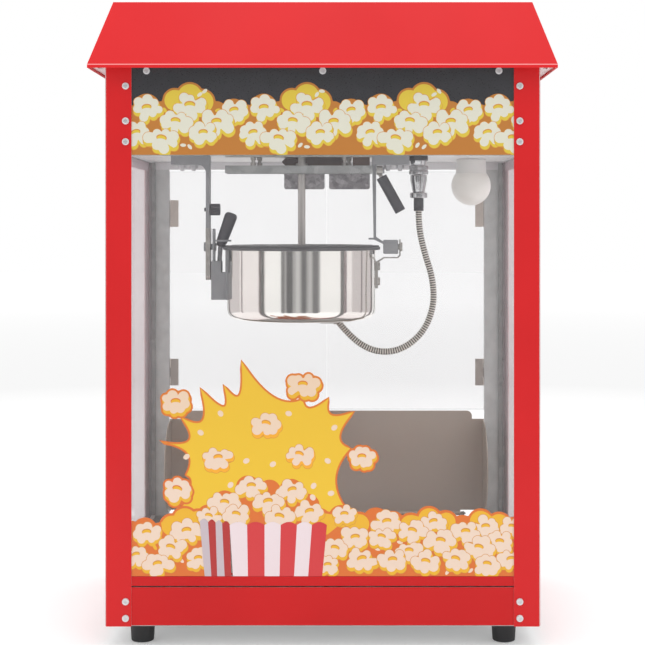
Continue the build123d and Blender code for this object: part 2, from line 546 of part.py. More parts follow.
def release_lever():
    """The lever that hangs beside the right arm, its rod in line with the grip."""
    x0, x1 = RIGHT_ARM_X + BODY_GAP, RIGHT_ARM_X + 8.5
    y = LEVER_Y
    (top_x, top_z), (end_x, end_z) = LEVER_GRIP_TOP, LEVER_GRIP_END
    rod_x0 = top_x - (end_x - top_x) * (LEVER_Z - top_z) / (top_z - end_z)
    lever = rod_between((rod_x0, y, LEVER_Z), (top_x, y, top_z), 2.6) + rod_x(x0, x1, y, LEVER_Z, 6)
    lever -= block(x0 - 9, x0, y - 9, y + 9, LEVER_Z - 9, LEVER_Z + 9)
    return lever - rod_x(x0 - 1, x1 + 1, y, LEVER_Z, LEVER_PIN_R + RUN_FIT)


def release_grip():
    y = LEVER_Y
    (top_x, top_z), (end_x, end_z) = LEVER_GRIP_TOP, LEVER_GRIP_END
    grip = rod_between((top_x, y, top_z), (end_x, y, end_z), LEVER_GRIP_R)
    return fillet(grip.edges().filter_by(GeomType.CIRCLE), 1.4)


# ---------------------------------------------------------------- kettle
def kettle_shell():
    """The polished outer pot, open at the top, with a rounded lower corner."""
    solid = rod_z(KETTLE_X, 0, KETTLE_BOTTOM, KETTLE_TOP, KETTLE_R)
    solid = fillet(solid.edges().filter_by(GeomType.CIRCLE).sort_by(Axis.Z)[0], KETTLE_CORNER)
    hollow = rod_z(KETTLE_X, 0, KETTLE_BOTTOM + KETTLE_T, KETTLE_TOP + 1, KETTLE_R - KETTLE_T)
    lower = hollow.edges().filter_by(GeomType.CIRCLE).sort_by(Axis.Z)[0]
    return solid - fillet(lower, KETTLE_CORNER - KETTLE_T)


def kettle_pan():
    """The dark inner pan with its wide rolled rim."""
    body = rod_z(KETTLE_X, 0, PAN_BOTTOM, RIM_TOP, PAN_R)
    body = fillet(body.edges().filter_by(GeomType.CIRCLE).sort_by(Axis.Z)[0], PAN_CORNER)
    rim = rod_z(KETTLE_X, 0, KETTLE_TOP, RIM_TOP, RIM_R)
    rim = fillet(rim.edges().filter_by(GeomType.CIRCLE), 1.6)
    hollow = rod_z(KETTLE_X, 0, PAN_BOTTOM + PAN_T, RIM_TOP + 1, PAN_R - PAN_T)
    lower = hollow.edges().filter_by(GeomType.CIRCLE).sort_by(Axis.Z)[0]
    return body + rim - fillet(lower, PAN_CORNER - PAN_T)


def heater_ring():
    """The tubular heater under the pan and the insulation disc that it lies on."""
    ring_z = PAN_BOTTOM - HEATER_TUBE_R - SEAT_GAP
    ring = Pos(KETTLE_X, 0, ring_z) * Torus(HEATER_R, HEATER_TUBE_R)
    pad_top = ring_z - HEATER_TUBE_R - SEAT_GAP
    pad = rod_z(KETTLE_X, 0, KETTLE_BOTTOM + KETTLE_T, pad_top, KETTLE_R - KETTLE_CORNER - 1)
    return group([ring, pad])


def kettle_gland():
    """The boss under the kettle that the heater's hose screws into."""
    end, before = HOSE_ROUTE[-1], HOSE_ROUTE[-2]
    run = hypot(end[0] - before[0], end[1] - before[1])
    ux, uz = (end[0] - before[0]) / run, (end[1] - before[1]) / run
    nipple = rod_between((end[0], 0, end[1]), (end[0] + 14 * ux, 0, end[1] + 14 * uz), 6.6)
    boss = block(end[0] - 23.5, end[0] + 0.5, -11, 11, KETTLE_BOTTOM - 5.5, KETTLE_BOTTOM)
    made = nipple + boss
    made -= block(end[0] - 60, end[0] + 40, -40, 40, KETTLE_BOTTOM, KETTLE_BOTTOM + 40)
    return made - rod_between((end[0], 0, end[1]), (before[0], 0, before[1]), 20)


def lid_ear(x0, x1, y):
    """A short hollow knuckle on a lid's hinge line."""
    tube = rod_x(x0, x1, y, LID_PIN_Z, LID_KNUCKLE_R)
    return tube - rod_x(x0 - 1, x1 + 1, y, LID_PIN_Z, LID_PIN_R + RUN_FIT)


def lid_crossbar():
    """The bar across the rim with the stirrer's bush, the lids' outer knuckles and their pins."""
    bar = block(KETTLE_X - LID_R, KETTLE_X + LID_R, -BAR_HALF, BAR_HALF, RIM_TOP, RIM_TOP + 1.5)
    bar = bar & rod_z(KETTLE_X, 0, RIM_TOP - 1, RIM_TOP + 9, LID_R)
    bar += rod_z(KETTLE_X, 0, RIM_TOP - 5, RIM_TOP + 2, SHAFT_R + 4)
    bar -= rod_z(KETTLE_X, 0, RIM_TOP - 9, RIM_TOP + 9, SHAFT_R + RUN_FIT)
    pins = []
    for side in (-1, 1):
        y = side * LID_PIN_Y
        for centre in (KETTLE_X - LID_HINGE_X, KETTLE_X + LID_HINGE_X):
            for end in (-1, 1):
                near = centre + end * (LID_KNUCKLE_L / 2 + SEAT_GAP)
                far = near + end * 4
                x0, x1 = min(near, far), max(near, far)
                arm = block(x0, x1, side * (BAR_HALF - 1), y, RIM_TOP, RIM_TOP + 1.5)
                arm -= rod_x(x0 - 1, x1 + 1, y, LID_PIN_Z, LID_PIN_R + RUN_FIT)
                bar += arm + lid_ear(x0, x1, y)
            half = LID_KNUCKLE_L / 2 + SEAT_GAP + 4
            pins.append(rod_x(centre - half, centre + half, y, LID_PIN_Z, LID_PIN_R))
    return group([bar] + pins)


def lid(side):
    """A half lid hinged on the crossbar, side -1 towards the customer or +1 the operator."""
    edge = LID_PIN_Y + LID_KNUCKLE_R + SEAT_GAP
    disc = rod_z(KETTLE_X, 0, LID_Z, LID_Z + LID_T, LID_R)
    half = disc & block(KETTLE_X - LID_END, KETTLE_X + LID_END, side * edge, side * LID_R,
                        LID_Z, LID_Z + LID_T)
    half += block(KETTLE_X - 13, KETTLE_X + 13, side * (LID_R - 4), side * (RIM_R + 5),
                  LID_Z, LID_Z + LID_T)
    y = side * LID_PIN_Y
    for centre in (KETTLE_X - LID_HINGE_X, KETTLE_X + LID_HINGE_X):
        x0, x1 = centre - LID_KNUCKLE_L / 2, centre + LID_KNUCKLE_L / 2
        tongue = block(x0, x1, y, side * (edge + 1), LID_Z, LID_Z + LID_T)
        tongue -= rod_x(x0 - 1, x1 + 1, y, LID_PIN_Z, LID_PIN_R + RUN_FIT)
        half += tongue + lid_ear(x0, x1, y)
    return half


def kettle_bracket():
    """The left bracket: a saddle on the pot, a channel, the pivot plate, its pin and the rod."""
    wall = 2.4
    x0, x1, mid = KETTLE_LEFT - 20.4, KETTLE_LEFT + 6, KETTLE_LEFT - 7.5
    low, step, top = TILT_Z - 70, TILT_Z - 34, TILT_Z - 19
    saddle = rod_z(KETTLE_X, 0, low, KETTLE_TOP - SEAT_GAP, KETTLE_R + wall)
    saddle &= block(x0 - 10, KETTLE_LEFT + 20, -18, 18, 0, TOTAL_H)
    channel = block(x0, x1, -13.2, 13.2, low, step) + block(x0, mid, -13.2, 13.2, step, top)
    channel -= block(x0 + 1.4, x1 + 9, -12, 12, low - 10, top + 10)
    channel += block(x0, mid, -12, 12, step, step + 2)
    plate_x = x0 + 3.8
    plate = block(x0 + 1.4, plate_x, -11, 11, low + 19, TILT_Z + 24)
    plate = fillet(plate.edges().filter_by(Axis.X).sort_by(Axis.Z)[-2:], 6)
    stay = block(plate_x, x1, -10.2, -9.3, TILT_Z + 7, TILT_Z + 9.4)
    pin = rod_x(x0 - 10.6, plate_x, 0, TILT_Z, PIVOT_R) + rod_x(plate_x, plate_x + 1.7, 0, TILT_Z, 5.5)
    pin += rod_x(x0 - 10.6, x0 - 8.2, 0, TILT_Z, 6)
    along = (Vector(*GRIP_END) - Vector(*GRIP_FOOT)).normalized()
    elbow = Vector(*GRIP_FOOT) - along * 5
    rod = rod_between((mid - 4, 0, step + 1), tuple(elbow), HANDLE_ROD_R)
    rod += rod_between(tuple(elbow), GRIP_FOOT, HANDLE_ROD_R) + Pos(*elbow) * Sphere(HANDLE_ROD_R)
    made = saddle + channel + plate + stay + pin + rod
    return made - rod_z(KETTLE_X, 0, KETTLE_BOTTOM - 5, KETTLE_TOP, KETTLE_R + RUN_FIT)


def kettle_hook():
    """The right strip: riveted to the pot, stepped under the block and up to its pin."""
    t = 1.5
    x, z = KETTLE_RIGHT, TILT_Z - 15.1
    outline = [(x, z - 39.9), (x + 2.5, z - 39.9), (x + 2.5, z - 6.1), (x + 11, z), (x + 29.4, z),
               (x + 32.6, z + 3.5), (x + 32.6, z + 25.1), (x + 32.6 - t, z + 25.1),
               (x + 32.6 - t, z + 4.1), (x + 28.8, z + t), (x + 10.4, z + t), (x, z - 4.9)]
    strip = plate_xz(outline, -7, 7)
    for rivet_z in (z - 30.9, z - 10.9):
        strip += rod_x(x + 2.5, x + 5.4, 0, rivet_z, 5.3)
    strip += rod_x(x + 16, x + 35, 0, TILT_Z, PIVOT_R) + rod_x(x + 32.6, x + 35, 0, TILT_Z, 6)
    return strip - rod_z(KETTLE_X, 0, KETTLE_BOTTOM - 5, KETTLE_TOP, KETTLE_R + RUN_FIT)


def handle_grip():
    """The black grip on the handle's rod, leaning towards the operator."""
    grip = rod_between(GRIP_FOOT, GRIP_END, 7.3, 8.8)
    return fillet(grip.edges().filter_by(GeomType.CIRCLE), 3)


def stirrer():
    """The shaft with its hub and the two swept arms just over the pan's floor."""
    floor = PAN_BOTTOM + PAN_T + 0.6
    made = rod_z(KETTLE_X, 0, floor, SHAFT_TOP, SHAFT_R) + rod_z(KETTLE_X, 0, floor, floor + 10, 9)
    for turn in (0, 180):
        arm = block(0, ARM_L, -ARM_SQ / 2, ARM_SQ / 2, floor, floor + ARM_SQ - 1)
        arm += block(ARM_L - ARM_SQ, ARM_L, -ARM_SQ / 2, ARM_SQ / 2, floor, floor + ARM_TIP)
        made += Pos(KETTLE_X, 0, 0) * Rot(0, 0, turn) * arm
    return made


# ---------------------------------------------------------------- lamp, connector, hose
def light_bulb():
    globe = Pos(BULB_X, BULB_Y, BULB_Z) * Sphere(BULB_R)
    return globe - block(BULB_X - 40, BULB_X + 40, BULB_Y - 40, BULB_Y + 40, BULB_SPLIT, BODY_TOP)


def bulb_housing():
    """The lamp's plastic body with its screw cap."""
    r0 = sqrt(BULB_R ** 2 - (BULB_SPLIT - BULB_Z) ** 2)
    return turned([(0, BULB_SPLIT), (r0, BULB_SPLIT), (20.5, CEILING_Z - 10), (20.5, CEILING_Z - SEAT_GAP),
                   (13, CEILING_Z - SEAT_GAP), (13, CEILING_Z + 24), (0, CEILING_Z + 24)],
                  BULB_X, BULB_Y)


def bulb_socket():
    z0 = CEILING_Z + SHEET
    tube = rod_z(BULB_X, BULB_Y, z0, z0 + 32, 19)
    return tube - rod_z(BULB_X, BULB_Y, z0 - 1, z0 + 26, 13 + SEAT_GAP)


def power_connector():
    """The ceiling socket for the kettle's lead: flange, neck and knurled collar."""
    z = CEILING_Z
    return turned([(0, z - 25), (12.7, z - 25), (12.7, z - 13), (6, z - 13), (6, z - 6), (12.5, z - 6),
                   (12.5, CEILING_Z), (6, CEILING_Z), (6, CEILING_Z + 12), (0, CEILING_Z + 12)],
                  PLUG_X)


def hose_fitting():
    """The plug on the hose: tapered barrel, ring nut and strain relief."""
    z = CEILING_Z - 25
    return turned([(0, RELIEF_BOTTOM), (6.6, RELIEF_BOTTOM), (6.6, z - 32), (11.7, z - 31.4),
                   (11.7, z - 23.6), (8.3, z - 23), (11, z), (0, z)], PLUG_X)


def hose():
    """The heater's hose as straight runs joined by arcs as large as the runs allow."""
    points = [(x, 0, z) for x, z in HOSE_ROUTE]
    runs = [Vector(*b) - Vector(*a) for a, b in zip(points, points[1:])]
    radii = []
    for a, b in zip(runs, runs[1:]):
        half_turn = radians(a.get_angle(b)) / 2
        radii.append(0.45 * min(a.length, b.length) / tan(half_turn))
    path = FilletPolyline(*points, radius=radii)
    section = Plane(origin=points[0], z_dir=runs[0]) * Circle(HOSE_D / 2)
    tube = sweep(section, path=path)
    print("hose runs", [round(r.length, 1) for r in runs], "radii", [round(r, 1) for r in radii])
    print("hose length", round(path.length, 1), "volume over section times length",
          round(tube.volume / (pi * HOSE_D ** 2 / 4 * path.length), 4))
    return tube


# ---------------------------------------------------------------- switches and screws
def rocker(x):
    """A rocker cap, pivoted on a line along X inside its housing."""
    w, h = SWITCH_W - 7, SWITCH_H - 8
    cap = block(x - w / 2, x + w / 2, IN_Y - 4, HALF_D + 4.2, SWITCH_Z - h / 2, SWITCH_Z + h / 2)
    notch = block(x - w, x + w, HALF_D + 2.4, HALF_D + 9, SWITCH_Z - 0.5, SWITCH_Z + h)
    return cap - Pos(0, HALF_D + 2.4, SWITCH_Z) * Rot(-11, 0, 0) * Pos(0, -HALF_D - 2.4, -SWITCH_Z) * notch


def switch_housings():
    """Three rocker bezels and the appliance inlet, snapped into the rear header."""
    made = []
    w, h, rim = SWITCH_W / 2 - SEAT_GAP, SWITCH_H / 2 - SEAT_GAP, 1.6
    for x in SWITCH_XS.values():
        body = block(x - w, x + w, IN_Y - 16, IN_Y, SWITCH_Z - h, SWITCH_Z + h)
        body += block(x - w - rim, x + w + rim, IN_Y, IN_Y + 2, SWITCH_Z - h - rim, SWITCH_Z + h + rim)
        body -= block(x - SWITCH_W / 2 + 2.8, x + SWITCH_W / 2 - 2.8, IN_Y - 9, IN_Y + 3,
                      SWITCH_Z - SWITCH_H / 2 + 2.4, SWITCH_Z + SWITCH_H / 2 - 2.4)
        made.append(body)
    w, h = INLET_W / 2 - SEAT_GAP, INLET_H / 2 - SEAT_GAP
    inlet = block(INLET_X - w, INLET_X + w, IN_Y - 22, IN_Y, SWITCH_Z - h, SWITCH_Z + h)
    inlet += block(INLET_X - w - 6, INLET_X + w + 6, IN_Y, IN_Y + 3, SWITCH_Z - h - 3, SWITCH_Z + h + 3)
    inlet -= block(INLET_X - w + 2, INLET_X + w - 2, IN_Y - 14, IN_Y + 4, SWITCH_Z - h + 2, SWITCH_Z + h - 2)
    for x in (-6, 0, 6):
        inlet += block(INLET_X + x - 1, INLET_X + x + 1, IN_Y - 16, IN_Y - 2, SWITCH_Z - 2, SWITCH_Z + 2)
    return group(made + [inlet])


def screw_head(x, y, z, facing):
    """A pan head with a cross recess, flat against a face that looks along facing * Y."""
    head = Pos(x, y, z) * Rot(-90 * facing, 0, 0) * Cylinder(SCREW_R, SCREW_H, align=(
        Align.CENTER, Align.CENTER, Align.MIN))
    rim = head.edges().filter_by(GeomType.CIRCLE).sort_by(Axis.Y)[-1 if facing > 0 else 0]
    head = fillet(rim, 1.3)
    y0 = y + facing * (SCREW_H - 1)
    y1 = y + facing * (SCREW_H + 1)
    for w, h in ((4.4, 1.1), (1.1, 4.4)):
        head -= block(x - w / 2, x + w / 2, min(y0, y1), max(y0, y1), z - h / 2, z + h / 2)
    return head


def fasteners():
    """Screws on the posts, sign screws, and the nuts under the hangers' legs."""
    made = []
    for z in POST_SCREW_ZS:
        for x in (-POST_SCREW_X, POST_SCREW_X):
            made.append(screw_head(x, -HALF_D, z, -1))
            made.append(screw_head(x, HALF_D, z, 1))
    for x in SIGN_SCREW_XS:
        made.append(screw_head(x, -IN_Y + BODY_GAP, SIGN_SCREW_Z, -1))
        made.append(screw_head(x, IN_Y, SIGN_SCREW_Z - SIGN_SCREW_DROP, 1))
    for x in NUT_XS:
        nut = Pos(x, 0, HANGER_Z - NUT_H) * extrude(RegularPolygon(NUT_R, 6), NUT_H)
        made.append(nut + rod_z(x, 0, HANGER_Z - NUT_H - 3, HANGER_Z - NUT_H, NUT_BOLT_R))
    return group(made)


def main():
    os.makedirs("parts", exist_ok=True)
    save("roof_shell", roof_shell())
    save("roof_underplate", roof_underplate())
    save("front_posts", group([post(-1, -1), post(1, -1)]))
    save("rear_posts", group([post(-1, 1), post(1, 1)]))
    save("base_front_panel", sheet_with_ledge(HALF_W - 4, FOOT_H + SHEET, BASE_TOP, PANEL_RETURN))
    save("front_sill", sheet_with_ledge(HALF_W - 4, SILL_BOTTOM, SILL_TOP, PANEL_RETURN))
    save("base_side_panels", group(both_sides(base_side_panel())))
    save("base_plate", base_plate())
    save("feet", group([foot(x, y) for x in (-FOOT_X, FOOT_X) for y in (-FOOT_Y, FOOT_Y)]))
    save("deck_plate", deck_plate())
    save("side_headers", group(both_sides(side_header())))
    save("rear_header", rear_header())
    save("ceiling_plate", ceiling_plate())
    pane_x = DECK_W / 2 - 1
    save("front_glass", block(-pane_x, pane_x, -PANE_BACK - GLASS_T, -PANE_BACK,
                              SILL_TOP + SEAT_GAP, GLASS_TOP))
    save("marquee_sign", block(-pane_x, pane_x, -IN_Y + BODY_GAP, -IN_Y + BODY_GAP + SIGN_T,
                               GLASS_TOP + SEAT_GAP, BODY_TOP - SEAT_GAP))
    pane_y = CHANNEL_Y
    save("side_glass", group(both_sides(block(SIDE_PANE_IN, SIDE_PANE_OUT, -pane_y + SEAT_GAP, pane_y,
                                              SILL_TOP + SEAT_GAP, HEADER_LEDGE - SEAT_GAP))))
    save("glass_channels", glass_channels())

    save("crumb_tray", crumb_tray())
    save("crumb_tray_face", crumb_tray_face())
    save("rear_flap", rear_flap())
    save("flap_pivot", flap_pivot())
    save("door_right", door())
    save("door_left", mirror(door(), about=Plane.YZ))
    save("door_fittings_right", door_fittings())
    save("door_fittings_left", mirror(door_fittings(), about=Plane.YZ))
    save("door_hinges_fixed", door_hinges_fixed())

    save("gearmotor", gearmotor())
    save("drive_coupling", drive_coupling())
    save("hanger_rail", hanger_rail())
    save("rail_mounts", rail_mounts())
    save("stop_tabs", stop_tabs())
    save("limit_switch", limit_switch())
    save("left_hanger", left_hanger())
    save("left_strap", left_strap())
    save("thumb_knob", thumb_knob())
    save("right_hanger", right_hanger())
    save("release_lever", release_lever())
    save("release_grip", release_grip())

    save("kettle_shell", kettle_shell())
    save("kettle_pan", kettle_pan())
    save("heater_ring", heater_ring())
    save("kettle_gland", kettle_gland())
    save("lid_crossbar", lid_crossbar())
    save("lid_front", lid(-1))
    save("lid_rear", lid(1))
    save("kettle_bracket", kettle_bracket())
    save("kettle_hook", kettle_hook())
    save("handle_grip", handle_grip())
    save("stirrer", stirrer())

    save("light_bulb", light_bulb())
    save("bulb_housing", bulb_housing())
    save("bulb_socket", bulb_socket())
    save("power_connector", power_connector())
    save("hose_fitting", hose_fitting())
    save("kettle_hose", hose())

    for name, x in SWITCH_XS.items():
        save(f"rocker_{name}", rocker(x))
    save("switch_housings", switch_housings())
    save("fasteners", fasteners())


main()
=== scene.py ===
# %% [markdown]
# # A tabletop popcorn maker
# The real machine is a red sheet-metal cabinet with glass on three sides, a steel kettle that
# hangs on two arms and tips forward, and a printed sign and front pane. Its exact shapes and its
# moving bodies come as a fixed frame, which is loaded first. This lesson then gives every piece
# its finish, and remakes the round and printed pieces as smooth surfaces in the same place.

import bpy
import numpy as np
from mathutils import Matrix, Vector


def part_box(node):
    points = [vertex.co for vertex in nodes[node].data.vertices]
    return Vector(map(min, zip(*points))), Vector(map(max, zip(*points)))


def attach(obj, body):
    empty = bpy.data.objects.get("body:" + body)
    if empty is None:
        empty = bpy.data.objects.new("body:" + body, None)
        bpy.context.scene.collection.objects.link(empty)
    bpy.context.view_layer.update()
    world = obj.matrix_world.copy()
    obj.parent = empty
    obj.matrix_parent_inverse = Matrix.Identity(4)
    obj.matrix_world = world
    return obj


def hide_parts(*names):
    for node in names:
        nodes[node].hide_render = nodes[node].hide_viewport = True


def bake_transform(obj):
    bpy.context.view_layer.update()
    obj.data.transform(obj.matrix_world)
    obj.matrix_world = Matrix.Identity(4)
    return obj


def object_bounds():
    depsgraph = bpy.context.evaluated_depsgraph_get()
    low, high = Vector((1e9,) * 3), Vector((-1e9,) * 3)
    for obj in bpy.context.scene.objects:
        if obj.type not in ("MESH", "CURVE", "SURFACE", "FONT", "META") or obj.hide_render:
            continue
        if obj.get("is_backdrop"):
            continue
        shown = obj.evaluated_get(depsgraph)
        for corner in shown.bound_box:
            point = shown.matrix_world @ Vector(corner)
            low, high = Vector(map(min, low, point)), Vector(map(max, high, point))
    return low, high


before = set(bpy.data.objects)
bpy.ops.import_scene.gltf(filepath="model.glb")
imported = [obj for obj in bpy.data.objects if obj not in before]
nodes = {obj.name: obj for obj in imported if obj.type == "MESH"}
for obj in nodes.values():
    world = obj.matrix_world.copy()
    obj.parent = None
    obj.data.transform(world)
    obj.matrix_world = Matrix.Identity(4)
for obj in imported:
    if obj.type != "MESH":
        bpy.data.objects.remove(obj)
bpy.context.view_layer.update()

# %% [markdown]
# ## Camera
# A long lens far away keeps the upright posts parallel. The camera looks level along +Y at the
# height of the kettle, and a vertical shift brings the whole cabinet into the picture. Turning
# the camera down instead would make the posts lean.

# %% Camera
camera_data = bpy.data.cameras.new("camera")
camera_data.sensor_width = 36
camera_data.lens = 81.6
camera_data.shift_x, camera_data.shift_y = -0.0364, -0.1496
camera = bpy.data.objects.new("camera", camera_data)
camera.location = (0.028, -1.948, 0.5087)
camera.rotation_euler = (np.pi / 2, 0, 0)
bpy.context.scene.collection.objects.link(camera)
bpy.context.scene.camera = camera
bpy.context.scene.view_settings.view_transform = "Standard"
print("camera at", tuple(camera.location), "lens", camera_data.lens)

# %% [markdown]
# ## Meshes from arrays
# Every new piece is a set of points and faces worked out as whole arrays. Two helpers are enough
# for all of them: one closes a row of rings into a skin, and one stacks such skins into a single
# object that rides on a body of the frame and stands for a piece of it.

# %% Rings into a closed skin
MM = 0.001


def skin(rings):
    """Points and faces of a closed surface over rings of points, shape (rings, around, 3).
    Each ring is joined to the next by quads, and each end is closed by a fan to its middle."""
    count, around = rings.shape[:2]
    grid = np.arange(count * around).reshape(count, around)
    turned = np.roll(grid, -1, axis=1)
    quads = np.stack([grid[:-1], turned[:-1], turned[1:], grid[1:]], -1).reshape(-1, 4)
    first = np.full(around, count * around)
    start = np.stack([first, turned[0], grid[0]], -1)
    end = np.stack([first + 1, grid[-1], turned[-1]], -1)
    points = np.vstack([rings.reshape(-1, 3), rings[0].mean(0), rings[-1].mean(0)])
    return points, quads.tolist() + start.tolist() + end.tolist()


def make_piece(name, skins, material, body, stands_for=(), sharp=40):
    """One object from several skins, at the origin, riding on a body. Edges that turn by more
    than sharp degrees stay crisp and the rest is shaded smooth."""
    points, faces, base = [], [], 0
    for some_points, some_faces in skins:
        points.append(some_points)
        faces += [[base + corner for corner in face] for face in some_faces]
        base += len(some_points)
    mesh = bpy.data.meshes.new(name)
    mesh.from_pydata(np.vstack(points).tolist(), [], faces)
    mesh.polygons.foreach_set("use_smooth", np.ones(len(faces), bool))
    mesh.set_sharp_from_angle(angle=np.radians(sharp))
    if material is not None:
        mesh.materials.append(material)
    made = bpy.data.objects.new(name, mesh)
    bpy.context.scene.collection.objects.link(made)
    if body is not None:
        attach(made, body)
    if stands_for:
        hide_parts(*stands_for)
    print(name, "faces", len(faces))
    return made


# %% [markdown]
# ## The heater's hose
# The kettle's heater gets its current through a flexible steel hose, which leaves the plug under
# the ceiling, hangs in a loop beside the kettle and comes up into its underside. Its line is one
# smooth curve through a few guide points. The tube's rings follow points read from that curve,
# and its radius rises and falls every three millimetres, as the wound strip of the real hose does.

# %% The hose's line
HOSE_R = 4.75 * MM
hose_route = MM * np.array([
    (124.8, 0, 528.7), (124.8, 0, 507.0), (132.5, 0, 473.0), (143.5, 0, 440.0),
    (145.5, 0, 402.0), (131.0, 0, 366.0), (100.0, 0, 342.0), (64.0, 0, 341.0),
    (33.5, 0, 361.0), (17.5, 0, 381.3),
])


def smooth_line(route):
    """Points along the quadratic spline that has the route as its control points."""
    curve = bpy.data.curves.new("route", "CURVE")
    curve.dimensions = "3D"
    curve.resolution_u = 24
    spline = curve.splines.new("NURBS")
    spline.points.add(len(route) - 1)
    spline.points.foreach_set("co", np.c_[route, np.ones(len(route))].ravel())
    spline.order_u = 3
    spline.use_endpoint_u = True
    holder = bpy.data.objects.new("route", curve)
    bpy.context.scene.collection.objects.link(holder)
    bpy.context.view_layer.update()
    mesh = bpy.data.meshes.new_from_object(holder)
    points = np.empty(3 * len(mesh.vertices))
    mesh.vertices.foreach_get("co", points)
    bpy.data.objects.remove(holder)
    return points.reshape(-1, 3)


hose_line = smooth_line(hose_route)
hose_steps = np.linalg.norm(np.diff(hose_line, axis=0), axis=1)
print("hose line", len(hose_line), "points, length", round(hose_steps.sum(), 4))

# %% The hose's tube
RIB_PITCH, RIB_DEPTH = 3.2 * MM, 1.0 * MM


def ribbed_tube(line, radius, pitch, depth, around=18, per_rib=6):
    """Rings square to a line in the XZ plane. The ring at length s along it has the radius
    radius - depth * (1 - cos(2 pi s / pitch)) / 2."""
    steps = np.linalg.norm(np.diff(line, axis=0), axis=1)
    along = np.r_[0, np.cumsum(steps)]
    s = np.linspace(0, along[-1], int(along[-1] / pitch * per_rib))
    centre = np.stack([np.interp(s, along, line[:, axis]) for axis in range(3)], -1)
    tangent = np.gradient(centre, axis=0)
    tangent /= np.linalg.norm(tangent, axis=1)[:, None]
    side = np.broadcast_to([0.0, 1.0, 0.0], tangent.shape)
    across = np.cross(tangent, side)
    r = radius - depth * (1 - np.cos(2 * np.pi * s / pitch)) / 2
    turn = 2 * np.pi * np.arange(around) / around
    ring = (np.cos(turn)[None, :, None] * across[:, None] + np.sin(turn)[None, :, None]
            * np.cross(tangent, across)[:, None])
    return centre[:, None] + r[:, None, None] * ring, (r - r.min()) / (r.max() - r.min())


hose_rings, hose_height = ribbed_tube(hose_line, HOSE_R, RIB_PITCH, RIB_DEPTH)
hose = make_piece("hose", [skin(hose_rings)], None, None, sharp=80)
# Each ring's height from 0 to 1 is kept on the points, and the hose's colour uses it to paint
# shade into the grooves and a highlight on the crests.
rib_light_values = hose.data.attributes.new("painted_rib_light", "FLOAT", "POINT")
around = hose_rings.shape[1]
rib_light_values.data.foreach_set("value", np.r_[np.repeat(hose_height, around), hose_height[[0, -1]]])
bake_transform(hose)
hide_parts("kettle_hose")

# %% [markdown]
# ## Writing materials as formulas
# A material is easier to read as a formula than as a web of nodes. One small class stands for
# the output of a node and adds Math nodes when values are added, multiplied or compared. Another
# class stands for the material itself and adds any other node.

# %% Values and finishes
def colour(red, green, blue):
    """A colour given as 0 to 255 display values, in the linear values that light adds up in."""
    share = np.array([red, green, blue]) / 255
    linear = np.where(share <= 0.04045, share / 12.92, ((share + 0.055) / 1.055) ** 2.4)
    return (*[float(v) for v in linear], 1.0)


class Value:
    """One output of a finish's nodes. Arithmetic with it adds Math nodes."""

    def __init__(self, finish, socket):
        self.finish, self.socket = finish, socket

    def math(self, operation, *others):
        inputs = dict(enumerate((self, *others)))
        return self.finish.node("Math", {"operation": operation}, inputs)

    def __add__(self, other):
        return self.math("ADD", other)

    def __sub__(self, other):
        return self.math("SUBTRACT", other)

    def __mul__(self, other):
        return self.math("MULTIPLY", other)

    def __gt__(self, other):
        return self.math("GREATER_THAN", other)

    def __lt__(self, other):
        return self.math("LESS_THAN", other)

    def __abs__(self):
        return self.math("ABSOLUTE")

    __radd__ = __add__


class Finish:
    """A material whose Principled shader gets its even values straight on its sockets."""

    def __init__(self, name, **even):
        self.material = bpy.data.materials.new(name)
        self.material.use_nodes = True
        self.tree = self.material.node_tree
        self.shader = self.tree.nodes["Principled BSDF"]
        self.place = self.node("TexCoord", output="Object")
        for key, value in even.items():
            self.set(key, value)

    def set(self, key, value):
        """Gives one shader socket, base_color for Base Color, a value or a link."""
        self.feed(self.shader.inputs[key.replace("_", " ").title().replace("Ior", "IOR")], value)

    def feed(self, socket, value):
        if isinstance(value, Value):
            self.tree.links.new(value.socket, socket)
        else:
            socket.default_value = value

    def node(self, kind, settings=None, inputs=None, output=0):
        """Adds a node of that type, sets its settings first and then its sockets."""
        made = self.tree.nodes.new("ShaderNode" + kind)
        for key, value in (settings or {}).items():
            setattr(made, key, value)
        for key, value in (inputs or {}).items():
            self.feed(made.inputs[key], value)
        return Value(self, made.outputs[output])

    def axes(self):
        """The three object coordinates as values, in metres."""
        return [self.node("SeparateXYZ", inputs={0: self.place}, output=axis) for axis in range(3)]

    def grain(self, scale, stretch=(1, 1, 1), detail=3.0, rough=0.5):
        """Noise from 0 to 1 with about scale cells to the metre, packed closer along stretch."""
        place = self.node("Mapping", inputs={"Vector": self.place, "Scale": stretch})
        inputs = {"Vector": place, "Scale": scale, "Detail": detail, "Roughness": rough}
        return self.node("TexNoise", inputs=inputs)

    def between(self, value, low, high):
        """A value carried to 0 at low and to 1 at high, held there outside."""
        return self.node("MapRange", inputs={"Value": value, "From Min": low, "From Max": high})

    def mix(self, factor, one, other):
        """One colour where the factor is 0, the other where it is 1."""
        return self.node("Mix", {"data_type": "RGBA"}, {0: factor, 6: one, 7: other}, output=2)

    def bump(self, height, distance, strength=1.0):
        """Tilts the surface by a height from 0 to 1 that stands for that many metres."""
        inputs = {"Height": height, "Distance": distance, "Strength": strength}
        self.set("normal", self.node("Bump", inputs=inputs))


def dress(finish, *names):
    """Gives CAD pieces this finish through their material slots."""
    for name in names:
        piece = nodes[name]
        if not piece.material_slots:
            piece.data.materials.append(finish.material)
        for place in piece.material_slots:
            place.material = finish.material
    print(finish.material.name, "on", len(names), "pieces")
